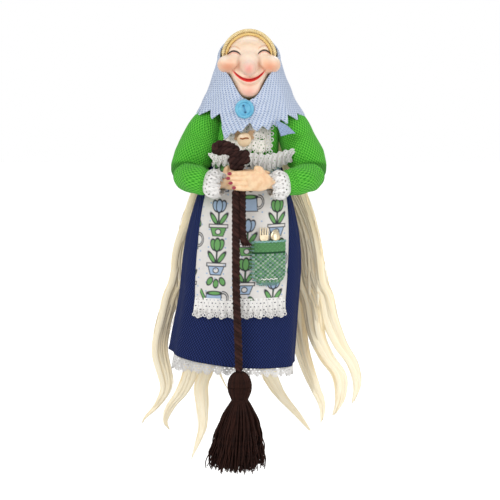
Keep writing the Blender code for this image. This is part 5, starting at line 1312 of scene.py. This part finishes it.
def make_back_hair(rng):
    paths, tones = back_paths(rng, 84, 0.6, 0.2)
    wisps("hair_down_the_back", paths, 2.3, tones, "hair_back")
    paths, tones = back_paths(rng, 150, 2.0, 1.6)
    stray_hairs("hair_down_the_back_strays", paths, 0.24, tones)
    s, t = np.linspace(1, -1, 90), steps(60)[:, None]
    half = 12.0 + 32 * np.sin(t * PI / 2) ** 1.2
    x = half * s * (1 - 0.03 * np.abs(np.sin(30 * s)) * t)
    y = hair_depth(x, 61.6 + 86 * t) + 0.7 + 0.35 * np.sin(34 * s + 2 * t)
    under = xyz(x, y, -61.6 - 86 * t - 4 * t * np.abs(np.sin(21 * s)))
    belongs(thicken(patches("hair_under_layer", under, GLOWING_PALE_HAIR, tone=[0.45]), 0.5), "hair")


def make_nape_hair(rng, count=220):
    """Hairs from under the cap that lean back, by a straight line, to where the loose hair begins."""
    start, t = rng.uniform(-1, 1, count), steps(20)[:, None]
    drop = 35 + rng.uniform(22.5, 26, count) * t
    x = start * (8.0 + 6.2 * t)
    lean = (hair_depth(x, 61.1) - 13.4) * np.minimum(1, t / 0.85)
    y = 13.4 + lean + rng.uniform(0.2, 2.4, count) + 1.5 * t ** 4
    belongs(tubes("nape_hair", xyz(x, y, -drop).transpose(1, 0, 2), 0.45, GLOWING_PALE_HAIR, 4,
                  tone=rng.uniform(0.1, 0.9, count)), "doll", "hair_nape")


make_apron()
make_pocket()
make_pocket_edging()
hair_rng = np.random.default_rng(11)
make_locks(hair_rng)
make_back_hair(hair_rng)
make_nape_hair(hair_rng)


# Finishes of the solids that stay: buttons, thread, bow, cutlery, dowel and stuffing

# Name, roughness, other sockets, noise's scale per axis, its scale and detail, two colours, nodes
FINISHES = (
    ("blue_shell_button", 0.18, {"Coat_Weight": 0.5, "Coat_Roughness": 0.1}, PER_MM, 0.25, 2.0,
     (56, 150, 196), (130, 208, 234), ["kerchief_button"]),
    ("cream_wood_button", 0.35, {"Coat_Weight": 0.3}, (600.0, 1000.0, 2400.0), 0.5, 2.0,
     (236, 200, 156), (250, 226, 192), ["jabot_button"]),
    ("tan_satin_ribbon", 0.5, {"Sheen_Weight": 0.3}, (1000.0, 1000.0, 9000.0), 0.6, 2.0,
     (168, 130, 94), (208, 172, 132), ["ribbon_bow"]),
    ("gilt_cutlery", 0.28, {"Metallic": 1.0}, PER_MM, 0.5, 3.0, (176, 156, 120), (238, 226, 200),
     ["fork", "spoon"]),
    ("dowel_birch", 0.6, {}, (1800.0, 1800.0, 120.0), 0.5, 3.0, (180, 140, 92), (214, 178, 128),
     ["neck_dowel"]),
    ("stuffed_calico", 0.95, {"Sheen_Weight": 0.2}, PER_MM, 1.2, 3.0, (206, 200, 190), (230, 224, 214),
     ["body_core", "skirt_base"]),
    ("blue_sewing_thread", 0.8, {}, (2000.0, 2000.0, 2000.0), 1.0, 2.0, (30, 104, 158), (84, 160, 204),
     ["button_thread"]))


def make_small_finishes():
    for name, roughness, sockets, place, scale, detail, dark, light, on in FINISHES:
        look = Finish(name, roughness, **sockets)
        look.colour(look.mix(look.noise(look.place(place), scale, detail), rgb(dark), rgb(light)))
        for node in on:
            nodes[node].data.materials.clear()
            nodes[node].data.materials.append(look.made)


def make_button_stitch():
    """The rust-coloured thread across the small button: a shallow parabola in front of its face."""
    face = 1000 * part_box("jabot_button")[0].y
    x = np.linspace(-2.4, 2.4, 24)
    stitch = xyz(x - 2.7, face - 0.30 + 0.10 * x * x, -64.2 + 0.25 * np.sin(1.4 * x))
    rust = threads("rust_thread", (120, 60, 20), (190, 110, 50), 0.8, 4.0, 1.0, 0.0001, tones=False)
    belongs(tubes("button_stitch", stitch[None], 0.42, rust, 8, (0, 0, 1)), "doll")


make_small_finishes()
make_button_stitch()
